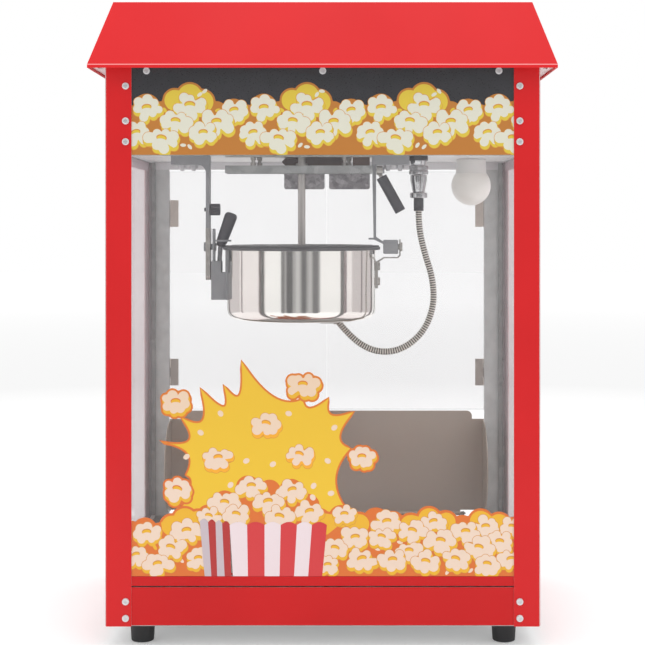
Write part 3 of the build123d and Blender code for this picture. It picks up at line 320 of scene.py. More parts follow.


# %% [markdown]
# ## Red enamel
# The sheet metal is powder coated in a bright glossy red. Powder flows out with a faint orange
# peel, a few millimetres across, which breaks the edges of its reflections. The posts are coated
# outside only, so their inner faces show the bare zinc that the sheet comes with. The headers and
# the lower panels are white inside. The roof catches the most light and the foot the least, and
# that light and shade are painted into the red: it goes from a painted highlight on the roof to
# painted shade at the foot.

# %% Enamel on the panels
RED, DEEP_RED = colour(212, 26, 30), colour(196, 20, 24)
# The bright red is a painted highlight for the roof, and the two low reds are painted shade for
# the lower pieces.
LIT_RED, SHADED_RED, DEEPER_SHADED_RED = colour(224, 30, 36), colour(202, 14, 18), colour(186, 10, 14)
ZINC, PALE_ZINC = colour(188, 191, 190), colour(228, 231, 230)


def red_enamel(name, pale=RED, dark=DEEP_RED):
    """Red that darkens a little in broad patches, under a clear gloss with orange peel."""
    finish = Finish(name, roughness=0.4, specular_ior_level=0.25, coat_weight=0.1,
                    coat_roughness=0.15)
    tint = finish.mix(finish.grain(9.0, detail=2.0), pale, dark)
    finish.set("base_color", tint)
    peel = finish.grain(420.0, detail=1.0)
    finish.bump(peel, 0.00006, 0.6)
    return finish, tint


# %% Enamel outside and a paler coat inside
POST_INSIDE, PANEL_INSIDE = (0.2614, 0.1894), (0.2602, 0.1882)


def two_sided(name, inside, dark, pale, reds=(RED, DEEP_RED)):
    """Red, but clouded from dark to pale where x and y are both within the inside, in metres."""
    finish, red = red_enamel(name, *reds)
    x, y, _ = finish.axes()
    inner = (abs(x) < inside[0]) * (abs(y) < inside[1])
    spangle = finish.mix(finish.grain(60.0, detail=4.0), dark, pale)
    finish.set("base_color", finish.mix(inner, red, spangle))
    finish.set("metallic", inner * 0.2)
    return finish


def hemmed_roof(name, hem_z):
    """Enamel with a painted highlight: a pale line along the bend of the hem, 0.6 mm each way."""
    finish, red = red_enamel(name, LIT_RED, RED)
    # The pale line is a painted highlight on the hem's bend.
    line = abs(finish.axes()[2] - hem_z) < 0.0006
    finish.set("base_color", finish.mix(line * 0.6, red, colour(255, 190, 190)))
    return finish


# The sill and the tray face get the two reds of painted shade.
enamel, _ = red_enamel("red_enamel", SHADED_RED, DEEPER_SHADED_RED)
dress(enamel, "front_sill", "crumb_tray_face")
dress(hemmed_roof("red_enamel_roof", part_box("roof_shell")[0].z + 0.004), "roof_shell")
dress(two_sided("red_enamel_posts", POST_INSIDE, ZINC, PALE_ZINC), "front_posts", "rear_posts")
# The lower panels get the reds of painted shade as well.
dress(two_sided("red_enamel_panels", PANEL_INSIDE, colour(226, 226, 228), colour(240, 240, 242),
                (SHADED_RED, DEEPER_SHADED_RED)),
      "base_front_panel", "base_side_panels", "side_headers", "rear_header")

# %% [markdown]
# ## White enamel and zinc-plated sheet
# The ceiling and the closed underside of the roof are coated white. The base plate, the crumb
# tray, the glass channels and the rail are zinc-plated, where the plating froze into leaf-like
# spangles about a centimetre across, each a slightly different grey. Voronoi cells give such
# patches. The tabs behind the rail have the same plate with smaller and stronger spangles.

# %% White enamel
white_enamel = Finish("white_enamel", roughness=0.45)
white_enamel.set("base_color", white_enamel.mix(white_enamel.grain(14.0), colour(236, 235, 234),
                                                colour(224, 223, 222)))
white_enamel.bump(white_enamel.grain(500.0, detail=1.0), 0.00004, 0.5)
dress(white_enamel, "roof_underplate", "ceiling_plate")


# %% Zinc-plated sheet
def zinc_plate(name, dark, pale, cell=90.0, metal=0.7, rough=0.42):
    """Spangled metal: each Voronoi cell has its own grey and gloss, clouded by fine noise."""
    finish = Finish(name, metallic=metal)
    cells = finish.node("TexVoronoi", inputs={"Vector": finish.place, "Scale": cell},
                        output="Color")
    shade = finish.node("SeparateColor", inputs={0: cells})
    cloud = shade * 0.45 + finish.grain(45.0, detail=5.0, rough=0.65) * 0.55
    finish.set("base_color", finish.mix(cloud, dark, pale))
    finish.set("roughness", rough + cloud * 0.18)
    finish.bump(finish.grain(900.0, detail=2.0), 0.00003, 0.5)
    return finish


zinc = zinc_plate("zinc_plate", colour(146, 148, 148), colour(196, 198, 197), metal=0.4)
dress(zinc, "base_plate", "glass_channels", "crumb_tray", "hanger_rail")
mottled_zinc = zinc_plate("mottled_zinc", colour(104, 101, 104), colour(226, 221, 225), cell=210.0,
                          metal=0.6, rough=0.36)
dress(mottled_zinc, "stop_tabs")

# %% [markdown]
# ## Brushed, plated and polished steel
# The deck and the rear flap are brushed along their width, so their grain is noise stretched far
# along X. The stirrer's shaft is brushed along its length. Small fittings are bright plated, with
# fine uneven gloss, and the hinges are a warmer and duller plate. The kettle is polished like
# a mirror, and only a trace of the turning marks is left, as fine rings round it.

# %% Brushed sheet
def brushed_steel(name, dark, pale, stretch, metal=0.85, rough=0.3):
    """Metal with long hairlines: noise whose scale across the grain is far above that along it."""
    finish = Finish(name, metallic=metal)
    hair = finish.grain(40.0, stretch, detail=4.0, rough=0.7)
    cloud = finish.grain(7.0, detail=2.0)
    finish.set("base_color", finish.mix(hair * 0.6 + cloud * 0.4, dark, pale))
    finish.set("roughness", rough + hair * 0.15)
    finish.bump(hair, 0.00003, 0.5)
    return finish


deck_steel = brushed_steel("deck_steel", colour(150, 148, 144), colour(196, 194, 190),
                           (1, 60, 60))
dress(deck_steel, "deck_plate")
flap_steel = brushed_steel("flap_steel", colour(168, 156, 144), colour(204, 191, 178), (1, 60, 60),
                           metal=0.3, rough=0.34)
dress(flap_steel, "rear_flap")
shaft_steel = brushed_steel("shaft_steel", colour(176, 172, 168), colour(228, 224, 220),
                            (60, 60, 1))
dress(shaft_steel, "stirrer")


# %% Plated fittings
def plated(name, dark, pale, rough=0.25, metal=1.0):
    """Bright metal with slow changes in tone and fine pits."""
    finish = Finish(name, metallic=metal)
    cloud = finish.grain(120.0, detail=4.0, rough=0.6)
    finish.set("base_color", finish.mix(cloud, dark, pale))
    finish.set("roughness", rough + cloud * 0.15)
    finish.bump(finish.grain(1500.0, detail=2.0), 0.00002, 0.4)
    return finish


plated_steel = plated("plated_steel", colour(150, 147, 143), colour(214, 210, 204), metal=0.55)
hinge_steel = plated("hinge_steel", colour(214, 201, 189), colour(236, 224, 212), metal=0.0)
dress(hinge_steel, "door_fittings_left", "door_fittings_right", "door_hinges_fixed")
dress(plated_steel, "flap_pivot", "drive_coupling", "rail_mounts", "left_strap", "release_lever",
      "heater_ring", "kettle_gland", "kettle_hook", "power_connector")
screw_steel = plated("screw_steel", colour(196, 196, 198), colour(236, 236, 238), metal=0.4)
dress(screw_steel, "fasteners")
hose_steel = plated("hose_steel", colour(128, 125, 119), colour(186, 182, 174), rough=0.28)
# Painted shade and painted highlight: near black in the grooves, near white on the crests.
painted_rib_light = hose_steel.node("Attribute", {"attribute_name": "painted_rib_light"}, output="Fac")
hose_steel.set("base_color", hose_steel.mix(painted_rib_light, colour(40, 38, 34), colour(252, 248, 240)))
hose.data.materials.append(hose_steel.material)
motor_steel = plated("motor_steel", colour(120, 120, 122), colour(150, 150, 152), rough=0.4)
dress(motor_steel, "gearmotor")

# %% Polished steel
polished_steel = Finish("polished_steel", metallic=1.0, base_color=colour(246, 243, 238))
rings = polished_steel.grain(30.0, (1, 1, 50), detail=3.0)
polished_steel.set("roughness", 0.07 + rings * 0.05)
polished_steel.bump(rings, 0.000012, 0.3)
print("polished steel ready")

# %% [markdown]
# ## Castings, coatings, plastics and rubber
# The arms and the kettle's bracket are matt grey castings. The pan has a speckled dark non-stick
# coat. Handles and switches are moulded, so they share one recipe: an even colour, a fine
# leathery grain in the gloss and slight dust-like variation.


# %% Moulded, cast and coated finishes
def moulded(name, dark, pale, rough=0.45, grain=700.0, depth=0.00005, metal=0.0):
    """Two close colours clouded by noise, under a fine grain that is also in the gloss."""
    finish = Finish(name, metallic=metal)
    cloud = finish.grain(60.0, detail=4.0, rough=0.6)
    fine = finish.grain(grain, detail=2.0)
    finish.set("base_color", finish.mix(cloud, dark, pale))
    finish.set("roughness", rough + fine * 0.15)
    finish.bump(fine, depth, 0.6)
    return finish


cast_grey = moulded("cast_grey", colour(132, 134, 137), colour(160, 162, 165), rough=0.42,
                    metal=0.15)
dress(cast_grey, "left_hanger", "right_hanger", "kettle_bracket")
pan_coat = moulded("pan_coat", colour(66, 66, 68), colour(92, 92, 94), rough=0.3, grain=1200.0)
dress(pan_coat, "lid_crossbar", "lid_front", "lid_rear")
grip_black = moulded("grip_black", colour(44, 44, 48), colour(92, 92, 98), rough=0.3)
black_plastic = moulded("black_plastic", colour(34, 34, 36), colour(52, 52, 55))
dress(black_plastic, "rocker_stirrer", "rocker_lamp", "switch_housings")
red_plastic = moulded("red_plastic", colour(196, 24, 22), colour(214, 40, 34), rough=0.25)
dress(red_plastic, "rocker_heat")
brown_plastic = moulded("brown_plastic", colour(84, 62, 54), colour(108, 84, 74))
dress(brown_plastic, "limit_switch")
white_plastic = moulded("white_plastic", colour(226, 225, 222), colour(240, 239, 236), rough=0.3)
dress(white_plastic, "bulb_socket")
rubber = moulded("black_rubber", colour(26, 26, 28), colour(46, 46, 48), rough=0.55)
bulb_glass = moulded("bulb_glass", colour(234, 232, 226), colour(244, 242, 238), rough=0.25)
bulb_glass.set("emission_color", colour(255, 250, 240))
bulb_glass.set("emission_strength", 0.06)

# %% [markdown]
# ## Glass and acrylic
# The panes are thin, so they are shown as nearly clear sheets by alpha, and not by refraction,
# which would only add noise here. Seen at a glance a pane gets denser, by the Layer Weight node,
# because it then mirrors what stands beside it, so that denser tint is a painted reflection. The
# side panes are tinted pink as a painted reflection of the red posts. Light is trapped at the cut
# edges, where a pane
# looks green, so they get more colour and body than the faces.


# %% Clear panes
def clear_pane(name, tint, edge_tint, body, edge, half_width, half_depth, low, high):
    """A sheet whose alpha is body on its faces and edge at its cut edges, which are where an
    object coordinate passes the pane's half width and half depth, its foot or its top."""
    finish = Finish(name, roughness=0.04, specular_ior_level=0.6)
    x, y, z = finish.axes()
    rim = (abs(x) > half_width) * (abs(y) > half_depth)
    rim = finish.node("Math", {"operation": "MAXIMUM", "use_clamp": True},
                      {0: rim, 1: (z < low) + (z > high)})
    smear = finish.between(finish.grain(7.0, detail=5.0, rough=0.6), 0.45, 0.8)
    facing = finish.node("LayerWeight", inputs={"Blend": 0.5}, output="Facing")
    glance = finish.between(facing, 0.6, 0.95)
    finish.set("base_color", finish.mix(rim, tint, edge_tint))
    finish.set("alpha", body + rim * (edge - body) + smear * 0.02 + glance * 0.32)
    return finish


GLASS, GLASS_EDGE = colour(226, 224, 228), colour(150, 172, 166)
CUT = 0.3 * MM
front_low, front_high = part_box("front_glass")
side_low, side_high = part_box("side_glass")
front_pane = clear_pane("front_pane", GLASS, GLASS_EDGE, 0.035, 0.5, front_high.x - CUT, 0,
                        front_low.z + CUT, front_high.z - CUT)
# The side pane's pink tint is a painted reflection of the red posts beside it.
side_pane = clear_pane("side_pane", colour(228, 184, 194), GLASS_EDGE, 0.11, 0.5, 0,
                       side_high.y - CUT, side_low.z + CUT, side_high.z - CUT)
door_low, door_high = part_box("door_left")
door_pane = clear_pane("door_pane", colour(228, 226, 232), colour(200, 204, 210), 0.08, 0.45,
                       -door_low.x - CUT, 0, door_low.z + CUT, door_high.z - CUT)
dress(front_pane, "front_glass")
dress(side_pane, "side_glass")
dress(door_pane, "door_left", "door_right")

# %% [markdown]
# ## Round pieces
# The kettle, the grips, the lamp, the plug and the feet are all turned shapes: a profile of
# radius and height carried round an axis. Corners of a profile are eased by a short quadratic
# curve, which is close to an arc, so that their edges catch a line of light.


# %% Turned shapes
def eased(corners, radii, steps=7):
    """A profile in which a corner P with neighbours on both sides becomes the curve
    (1 - s)^2 A + 2 s (1 - s) P + s^2 B, where A and B lie its radius away on the two sides."""
    corners = np.array(corners, float)
    s = np.linspace(0, 1, steps)[:, None]
    pieces = []
    for index, (corner, radius) in enumerate(zip(corners, radii)):
        if radius == 0:
            pieces.append(corner[None])
            continue
        back, ahead = corners[index - 1] - corner, corners[index + 1] - corner
        start = corner + back / np.linalg.norm(back) * radius
        end = corner + ahead / np.linalg.norm(ahead) * radius
        pieces.append((1 - s) ** 2 * start + 2 * s * (1 - s) * corner + s ** 2 * end)
    return np.vstack(pieces)


def turned(profile, foot, axis=(0, 0, 1), around=64, flutes=0, flute_depth=0.0):
    """Skin of a profile (radius, height), in millimetres, round an axis from the point foot.
    The point at angle a and profile row i is foot + r_i (u cos a + v sin a) + h_i axis, and
    flutes lower the radius by flute_depth (1 - cos(flutes a)) / 2."""
    axis = np.array(axis, float) / np.linalg.norm(axis)
    helper = np.array([0.0, 1.0, 0.0]) if abs(axis[1]) < 0.9 else np.array([1.0, 0.0, 0.0])
    u = np.cross(helper, axis)
    u /= np.linalg.norm(u)
    v = np.cross(axis, u)
    angle = 2 * np.pi * np.arange(around) / around
    dip = flute_depth * (1 - np.cos(flutes * angle)) / 2
    radius = np.maximum(profile[:, :1] - dip[None], 0.2)
    spokes = np.cos(angle)[:, None] * u + np.sin(angle)[:, None] * v
    rings = radius[:, :, None] * spokes[None] + profile[:, 1:, None] * axis[None, None]
    return skin(MM * (np.array(foot, float) + rings))


# %% The polished pot and its dark pan
KETTLE_X = -31.0
pot = eased([(2, 385), (99, 385), (99, 477), (98, 477), (98, 386), (2, 386)],
            [0, 16, 0.3, 0.3, 15, 0], steps=13)
make_piece("kettle_pot", [turned(pot, (KETTLE_X, 0, 0), around=160)], polished_steel.material,
           "kettle", ["kettle_shell"])
pan = eased([(2, 400), (94.5, 400), (94.5, 477), (104.6, 477), (104.6, 481.5), (93, 481.5),
             (93, 401.5), (2, 401.5)], [0, 12, 0, 1.8, 1.8, 1.2, 10.5, 0])
make_piece("kettle_inner_pan", [turned(pan, (KETTLE_X, 0, 0), around=128)], pan_coat.material,
           "kettle", ["kettle_pan"])

# %% Grips, thumb screw and feet
grip = eased([(1, -7), (5.2, -7), (6.6, -1), (7.3, 0), (8.8, 40.4), (1, 40.4)],
             [0, 1, 1, 0.6, 6.5, 0])
make_piece("tilt_grip", [turned(grip, (-137.4, 0, 488), (13.7, 0, 38), around=40)],
           grip_black.material, "kettle", ["handle_grip"])
LEVER_Y = -6.25
lever_grip = eased([(1, 0), (7.25, 0), (7.25, 52.5), (5.4, 52.5), (5.0, 51.6), (1, 51.6)],
                   [0, 1.0, 1.2, 0.5, 0, 0])
make_piece("lever_grip", [turned(lever_grip, (75.0, LEVER_Y, 574), (25.4, 0, -46), around=40)],
           grip_black.material, "release_lever", ["release_grip"])
knob = eased([(1, -8), (2.5, -8), (2.5, 0), (7.75, 0), (7.75, 13.2), (1, 13.2)],
             [0, 0, 0, 1.0, 1.4, 0])
make_piece("thumb_screw", [turned(knob, (-152.7, 0, 530.6), (1, 0, 0), around=96, flutes=12,
                                  flute_depth=1.5)],
           grip_black.material, "thumb_knob", ["thumb_knob"])
foot = eased([(1, 0.4), (11.5, 0.4), (11.9, 0), (13.8, 0), (15.5, 27), (1, 27)],
             [0, 0, 0, 1.5, 0.8, 0])
feet = [turned(foot, (x, y, 0), around=40) for x in (-222, 222) for y in (-149, 149)]
make_piece("rubber_feet", feet, rubber.material, "cabinet", ["feet"])

# %% The lamp
BULB_X, BULB_Y, BULB_Z, BULB_R, BULB_SPLIT = 203.0, 98.0, 565.0, 27.5, 582.0
rise = np.linspace(-np.pi / 2 + 0.06, np.arcsin((BULB_SPLIT - BULB_Z) / BULB_R), 32)
globe = np.stack([BULB_R * np.cos(rise), BULB_Z + BULB_R * np.sin(rise)], -1)
make_piece("lamp_globe", [turned(globe, (BULB_X, BULB_Y, 0))], bulb_glass.material, "cabinet",
           ["light_bulb"])
neck = eased([(globe[-1, 0], BULB_SPLIT), (20.5, 592), (20.5, 601.7), (13, 601.7), (13, 626),
              (1, 626)], [0, 3, 1, 0, 1, 0])
make_piece("lamp_housing", [turned(neck, (BULB_X, BULB_Y, 0))], white_plastic.material, "cabinet",
           ["bulb_housing"])

# %% The plug and its socket
PLUG_X = 124.8
chrome = plated("chrome", colour(176, 177, 178), colour(216, 217, 218), rough=0.08)
dark_steel = plated("dark_steel", colour(62, 62, 64), colour(92, 92, 95), rough=0.3)
relief_rubber = moulded("relief_rubber", colour(40, 40, 43), colour(60, 60, 63))
flange = eased([(1, 595.5), (12.5, 595.5), (12.5, 602), (6, 602), (6, 614), (1, 614)],
               [0, 0.6, 0.6, 0, 0.6, 0])
make_piece("socket_flange", [turned(flange, (PLUG_X, 0, 0))], dark_steel.material, "cabinet",
           ["power_connector"])
throat = eased([(1, 588.5), (9.4, 588.5), (11.2, 595.8), (1, 595.8)], [0, 0.3, 0.3, 0])
collar = eased([(1, 577.2), (12.7, 577.2), (12.7, 582), (12.0, 582.6), (12.0, 583.4), (12.7, 584),
                (12.7, 589), (1, 589)], [0, 0.8, 0.3, 0, 0, 0.3, 0.8, 0])
collar = turned(collar, (PLUG_X, 0, 0), around=144, flutes=36, flute_depth=0.5)
barrel = eased([(1, 553.4), (8.0, 553.4), (9.6, 562), (11.2, 570), (11.2, 576.6), (1, 577.2)],
               [0, 0.4, 4, 4, 1, 0])
barrel = turned(barrel, (PLUG_X, 0, 0), around=96, flutes=12, flute_depth=0.35)
ring = eased([(1, 545.8), (11.7, 545.8), (11.7, 553.2), (1, 553.2)], [0, 1.8, 1.8, 0])
make_piece("hose_plug", [turned(throat, (PLUG_X, 0, 0)), collar, barrel,
                         turned(ring, (PLUG_X, 0, 0))],
           chrome.material, "cabinet", ["hose_fitting"])
relief = eased([(4.9, 528.7), (6.6, 528.7), (6.6, 531.5), (6.2, 532), (6.6, 532.5), (6.6, 546),
                (1, 546)], [0, 0.8, 0, 0, 0, 0.5, 0])
make_piece("hose_relief", [turned(relief, (PLUG_X, 0, 0))], relief_rubber.material, "cabinet")

# %% [markdown]
# ## Printed art
# The sign and the lower front pane carry a printed heap of popcorn. A print is flat, so it is
# drawn the way a sign painter would, in layers: an orange ground, yellow under-shapes, cream
# lobes and a small curl in each piece. Every layer lies a hundredth of a millimetre in front of
# the one below it, and a piece that overlaps an earlier one starts on a higher layer.

# %% A painter's stack of flat shapes
ORANGE, YELLOW, CREAM = colour(214, 108, 40), colour(228, 174, 38), colour(229, 206, 188)
LINE = colour(206, 138, 50)
PRINT_FACE, LAYER_STEP = -188.42, 0.011


class Print:
    """Flat shapes in the XZ plane, in millimetres, each with a colour and a layer."""

    def __init__(self, left, right, low, high, face):
        self.left, self.right, self.low, self.high, self.face = left, right, low, high, face
        self.points, self.faces, self.tints, self.blots = [], [], [], []
        self.count = 0

    def shape(self, outline, tint, layer):
        """One filled outline, clipped to the print, on its layer in front of the face."""
        outline = np.clip(outline, (self.left, self.low), (self.right, self.high))
        y = np.full(len(outline), self.face - layer * LAYER_STEP)
        self.points.append(np.stack([outline[:, 0], y, outline[:, 1]], -1))
        self.faces.append(list(range(self.count, self.count + len(outline))))
        self.tints.append(np.tile(tint, (len(outline), 1)))
        self.count += len(outline)

    def blot(self, x, z, wide, high, tint, layer, turn=0.0, corners=22):
        """An ellipse: centre + turned (wide cos a, high sin a)."""
        angle = 2 * np.pi * np.arange(corners) / corners
        reach = np.stack([wide * np.cos(angle), high * np.sin(angle)], -1)
        spin = np.array([[np.cos(turn), np.sin(turn)], [-np.sin(turn), np.cos(turn)]])
        if abs(x) - max(wide, high) < self.right:
            self.shape(reach @ spin + (x, z), tint, layer)

    def free_layer(self, x, z, reach, layers):
        """The lowest layer above every earlier piece that this one overlaps."""
        above = [top for (px, pz, pr, top) in self.blots
                 if (px - x) ** 2 + (pz - z) ** 2 < (pr + reach) ** 2]
        base = max(above, default=4)
        self.blots.append((x, z, reach, base + layers))
        return base

    def finish(self, name, material, body):
        """The whole print as one object with its colours in a point attribute."""
        mesh = bpy.data.meshes.new(name)
        mesh.from_pydata((MM * np.vstack(self.points)).tolist(), [], self.faces)
        attribute = mesh.attributes.new("ink", "FLOAT_COLOR", "POINT")
        attribute.data.foreach_set("color", np.vstack(self.tints).ravel())
        mesh.materials.append(material)
        made = bpy.data.objects.new(name, mesh)
        bpy.context.scene.collection.objects.link(made)
        top = max(top for *_, top in self.blots)
        print(name, "shapes", len(self.faces), "layers", top)
        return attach(made, body)


# %% One piece of popcorn
def cloud(discs, corners=60):
    """Outline of discs (x, z, radius) that overlap round their middle. In direction u from the
    middle a ray leaves disc i at c_i . u + sqrt(r_i^2 - (c_i x u)^2), and the farthest counts."""
    discs = np.array(discs, float)
    middle = discs[:, :2].mean(0)
    centre, radius = discs[:, :2] - middle, discs[:, 2]
    angle = 2 * np.pi * np.arange(corners)[:, None] / corners
    u = np.stack([np.cos(angle), np.sin(angle)], -1)
    along = (centre * u).sum(-1)
    beside = centre[:, 0] * u[..., 1] - centre[:, 1] * u[..., 0]
    reach = along + np.sqrt(np.maximum(radius ** 2 - beside ** 2, 0))
    reach[np.abs(beside) > radius] = 0
    return middle + reach.max(1)[:, None] * u[:, 0]


def popcorn(art, x, z, size, seed, inks, outline=0.6):
    """Seven round lobes about a middle one. Lobe i sits at about size * 0.64 from the middle in
    the direction 2 pi i / 7 plus a small chance turn. Under them is a yellow shadow, and a curl
    of three ellipses lies on top."""
    cream, yellow, orange = inks
    chance = np.random.default_rng(seed)
    turn = np.pi * np.arange(7) / 3.5 + chance.uniform(-0.28, 0.28, 7) + chance.uniform(0, 1)
    out = size * chance.uniform(0.52, 0.76, 7)
    radius = size * chance.uniform(0.24, 0.36, 7)
    lobes = np.stack([x + 1.1 * out * np.cos(turn), z + 0.76 * out * np.sin(turn), radius], -1)
    lobes = np.vstack([lobes, [x, z, 0.46 * size]])
    shadow = lobes + (0.05 * size, -0.19 * size, 0.03 * size)
    base = art.free_layer(x, z, 0.9 * size, 6)
    rim = orange if outline > 1 else LINE
    art.shape(cloud(shadow + (0, 0, outline)), rim, base - 0.5)
    art.shape(cloud(lobes + (0, 0, outline)), rim, base)
    art.shape(cloud(shadow), yellow, base + 1)
    art.shape(cloud(lobes), cream, base + 2)
    tilt = chance.uniform(-0.3, 0.3)
    art.blot(x, z + 0.10 * size, 0.32 * size, 0.20 * size, rim, base + 3, tilt)
    art.blot(x, z + 0.06 * size, 0.28 * size, 0.17 * size, yellow, base + 4, tilt)
    art.blot(x, z - 0.09 * size, 0.31 * size, 0.14 * size, cream, base + 5, tilt)


def flakes(art, places, tint, layer, wide=3.6, high=2.0):
    """Small oval crumbs at the given places, each turned by its own place."""
    for x, z in places:
        art.blot(x, z, wide, high, tint, layer, turn=np.sin(x * 1.7 + z))


def bumpy_band(art, tops, low, tint, layer, grow=0.0):
    """A band down to low whose upper edge is the highest of a row of discs (x, z, radius), which
    at x is z_i + sqrt(r_i^2 - (x - x_i)^2)."""
    tops = np.array(tops, float) + (0, 0, grow)
    x = np.arange(tops[0, 0] - tops[0, 2] + 0.1, tops[-1, 0] + tops[-1, 2], 0.8)
    across = x[:, None] - tops[:, 0]
    over = tops[:, 1] + np.sqrt(np.maximum(tops[:, 2] ** 2 - across ** 2, 0))
    over[np.abs(across) > tops[:, 2]] = low
    edge = np.stack([x, over.max(1)], -1)
    art.shape(np.vstack([edge, [(x[-1], low), (x[0], low)]]), tint, layer)


# %% The sign's band of popcorn
SIGN_INKS = (colour(214, 213, 197), colour(214, 188, 58), colour(184, 117, 44))
sign = Print(-231, 231, 594.3, 690, PRINT_FACE)
PERIOD = 141.0
band = [(-231, 640, 12), (-212, 652, 14), (-193, 646, 11), (-178, 660, 13), (-160, 665, 15),
        (-145, 658, 14), (-128, 646, 11), (-107, 648, 12), (-92, 642, 11)]
bumpy_band(sign, [(x + k * PERIOD, z, r) for k in range(4) for x, z, r in band], 594,
           SIGN_INKS[2], 1, grow=2.0)
for repeat in range(4):
    shift = repeat * PERIOD
    sign.shape(cloud([(x + shift, z, r - 0.5) for x, z, r in band[3:6]]), SIGN_INKS[1], 2)
    flakes(sign, [(-196 + shift, 643), (-190 + shift, 648), (-126 + shift, 648)], SIGN_INKS[1], 3)
    flakes(sign, [(-148 + shift, 667), (-142 + shift, 671), (-118 + shift, 640),
                  (-168 + shift, 606), (-160 + shift, 604)], SIGN_INKS[0], 3)
SIGN_ROWS = [(-212, 650, 19), (-160, 653, 21), (-107, 647, 18), (-177, 634, 19), (-128, 633, 20),
             (-225, 620, 18), (-194, 613, 20), (-144, 620, 18)]
order = sorted((-z, x + k * PERIOD, z, s, i) for i, (x, z, s) in enumerate(SIGN_ROWS)
               for k in range(4))
for _, x, z, size, index in order:
    popcorn(sign, x, z, size, index, SIGN_INKS)

# %% The ink, which warms towards the top of the front pane's print
ink = Finish("printed_ink", roughness=0.38)
print_colour = ink.node("Attribute", {"attribute_name": "ink"}, output="Color")
upward = ink.between(ink.axes()[2], 0.2, 0.40)
warmth = ink.grain(900.0, detail=1.0) * 0.06 + upward * 0.3
ink.set("base_color", ink.mix(warmth, print_colour, colour(206, 158, 52)))
sign_ink = Finish("sign_ink", roughness=0.38)
sign_colour = sign_ink.node("Attribute", {"attribute_name": "ink"}, output="Color")
sign_ink.set("base_color", sign_ink.mix(sign_ink.grain(900.0, detail=1.0) * 0.08, sign_colour,
                                        colour(150, 120, 70)))
sign.finish("sign_print", sign_ink.material, "cabinet")
sign_black = moulded("sign_black", colour(52, 52, 55), colour(62, 62, 66), rough=0.22,
                     depth=0.00001)
dress(sign_black, "marquee_sign")

# %% [markdown]
# The front pane's print has a yellow burst behind a striped tub that overflows. The burst is a
# star whose sides sag inwards: between two tips runs a quadratic curve that passes through the
# valley between them. The orange rim is the same outline pushed out along its normals.

# %% The burst
def sagging_star(points, steps=14):
    """An outline through tips and valleys in turn. From tip A to tip B through valley V it is
    (1 - s)^2 A + 2 s (1 - s) C + s^2 B with C = 2 V - (A + B) / 2."""
    points = np.array(points, float)
    s = np.linspace(0, 1, steps, endpoint=False)[:, None]
    runs = []
    for start, valley, end in zip(points[:-2:2], points[1:-1:2], points[2::2]):
        control = 2 * valley - (start + end) / 2
        runs.append((1 - s) ** 2 * start + 2 * s * (1 - s) * control + s ** 2 * end)
    return np.vstack(runs + [points[-1:]])


def pushed_out(outline, distance):
    """A closed outline moved along its normals, given clockwise."""
    ahead = np.roll(outline, -1, 0) - np.roll(outline, 1, 0)
    normal = np.stack([-ahead[:, 1], ahead[:, 0]], -1)
    return outline + distance * normal / np.linalg.norm(normal, axis=1)[:, None]


PANE_FOOT = 87
front = Print(-231, 231, PANE_FOOT + 0.3, 400, PRINT_FACE)
BURST = [(-172, 165), (-158, 196), (-164, 209), (-163, 236), (-198, 249), (-161, 250), (-170, 278),
         (-144, 275), (-147, 313), (-119, 291), (-119, 317), (-100, 305), (-98, 346), (-60, 303),
         (-24, 300), (-15, 289), (7, 301), (10, 281), (37, 285), (20, 256), (33, 241), (15, 204),
         (30, 165)]
burst = sagging_star(BURST)
front.shape(pushed_out(burst, 2.4), ORANGE, 1)
front.shape(burst, colour(230, 188, 42), 2)
flakes(front, [(-123, 283), (-147, 260), (-164, 231), (-41, 283), (-92, 226), (-60, 222), (6, 226),
               (14, 266), (-111, 197), (10, 187), (-11, 196), (-12, 182)], CREAM, 3, 4.0, 3.2)
FRONT_INKS = (CREAM, YELLOW, ORANGE)
DEEP_INKS = (CREAM, colour(240, 168, 40), ORANGE)
for index, (x, z, size) in enumerate([(-177, 296, 19), (-24, 317, 19), (-175, 191, 19),
                                      (47, 230, 17)]):
    popcorn(front, x, z, size, 20 + index, FRONT_INKS, outline=2.4)
for index, (x, z, size) in enumerate([(-68, 270, 18), (-126, 229, 18), (-28, 233, 17)]):
    popcorn(front, x, z, size, 30 + index, DEEP_INKS)

# %% The heaps either side and in the tub
left_band = [(-231, 138, 14), (-214, 143, 13), (-196, 138, 12), (-182, 148, 13), (-166, 155, 15),
             (-150, 155, 12), (-138, 150, 12)]
right_band = [(2, 150, 14), (22, 158, 13), (44, 150, 13), (64, 154, 14), (84, 151, 13),
              (106, 148, 14), (128, 156, 14), (148, 152, 13), (168, 146, 13), (190, 153, 14),
              (212, 149, 14), (231, 144, 13)]
for tops in (left_band, right_band):
    bumpy_band(front, tops, PANE_FOOT, ORANGE, 2.5, grow=2.0)
for mound in (left_band[3:6], right_band[0:3], right_band[5:8], right_band[9:12]):
    front.shape(cloud([(x, z, r - 1) for x, z, r in mound]), YELLOW, 3.4)
tub_band = [(-138, 160, 13), (-118, 176, 14), (-90, 194, 14), (-64, 190, 13), (-38, 190, 14),
            (-18, 172, 14), (-4, 156, 13)]
bumpy_band(front, tub_band, 140, ORANGE, 2.8, grow=0.5)
HEAP = [(-86, 195, 18), (-37, 190, 18), (-118, 175, 18), (-66, 176, 19), (-104, 161, 17),
        (-52, 158, 19), (-16, 164, 18), (-137, 159, 15)]
LEFT = [(-212, 139, 18), (-164, 141, 19), (-183, 121, 18), (-225, 112, 16), (-199, 101, 18),
        (-150, 108, 16)]
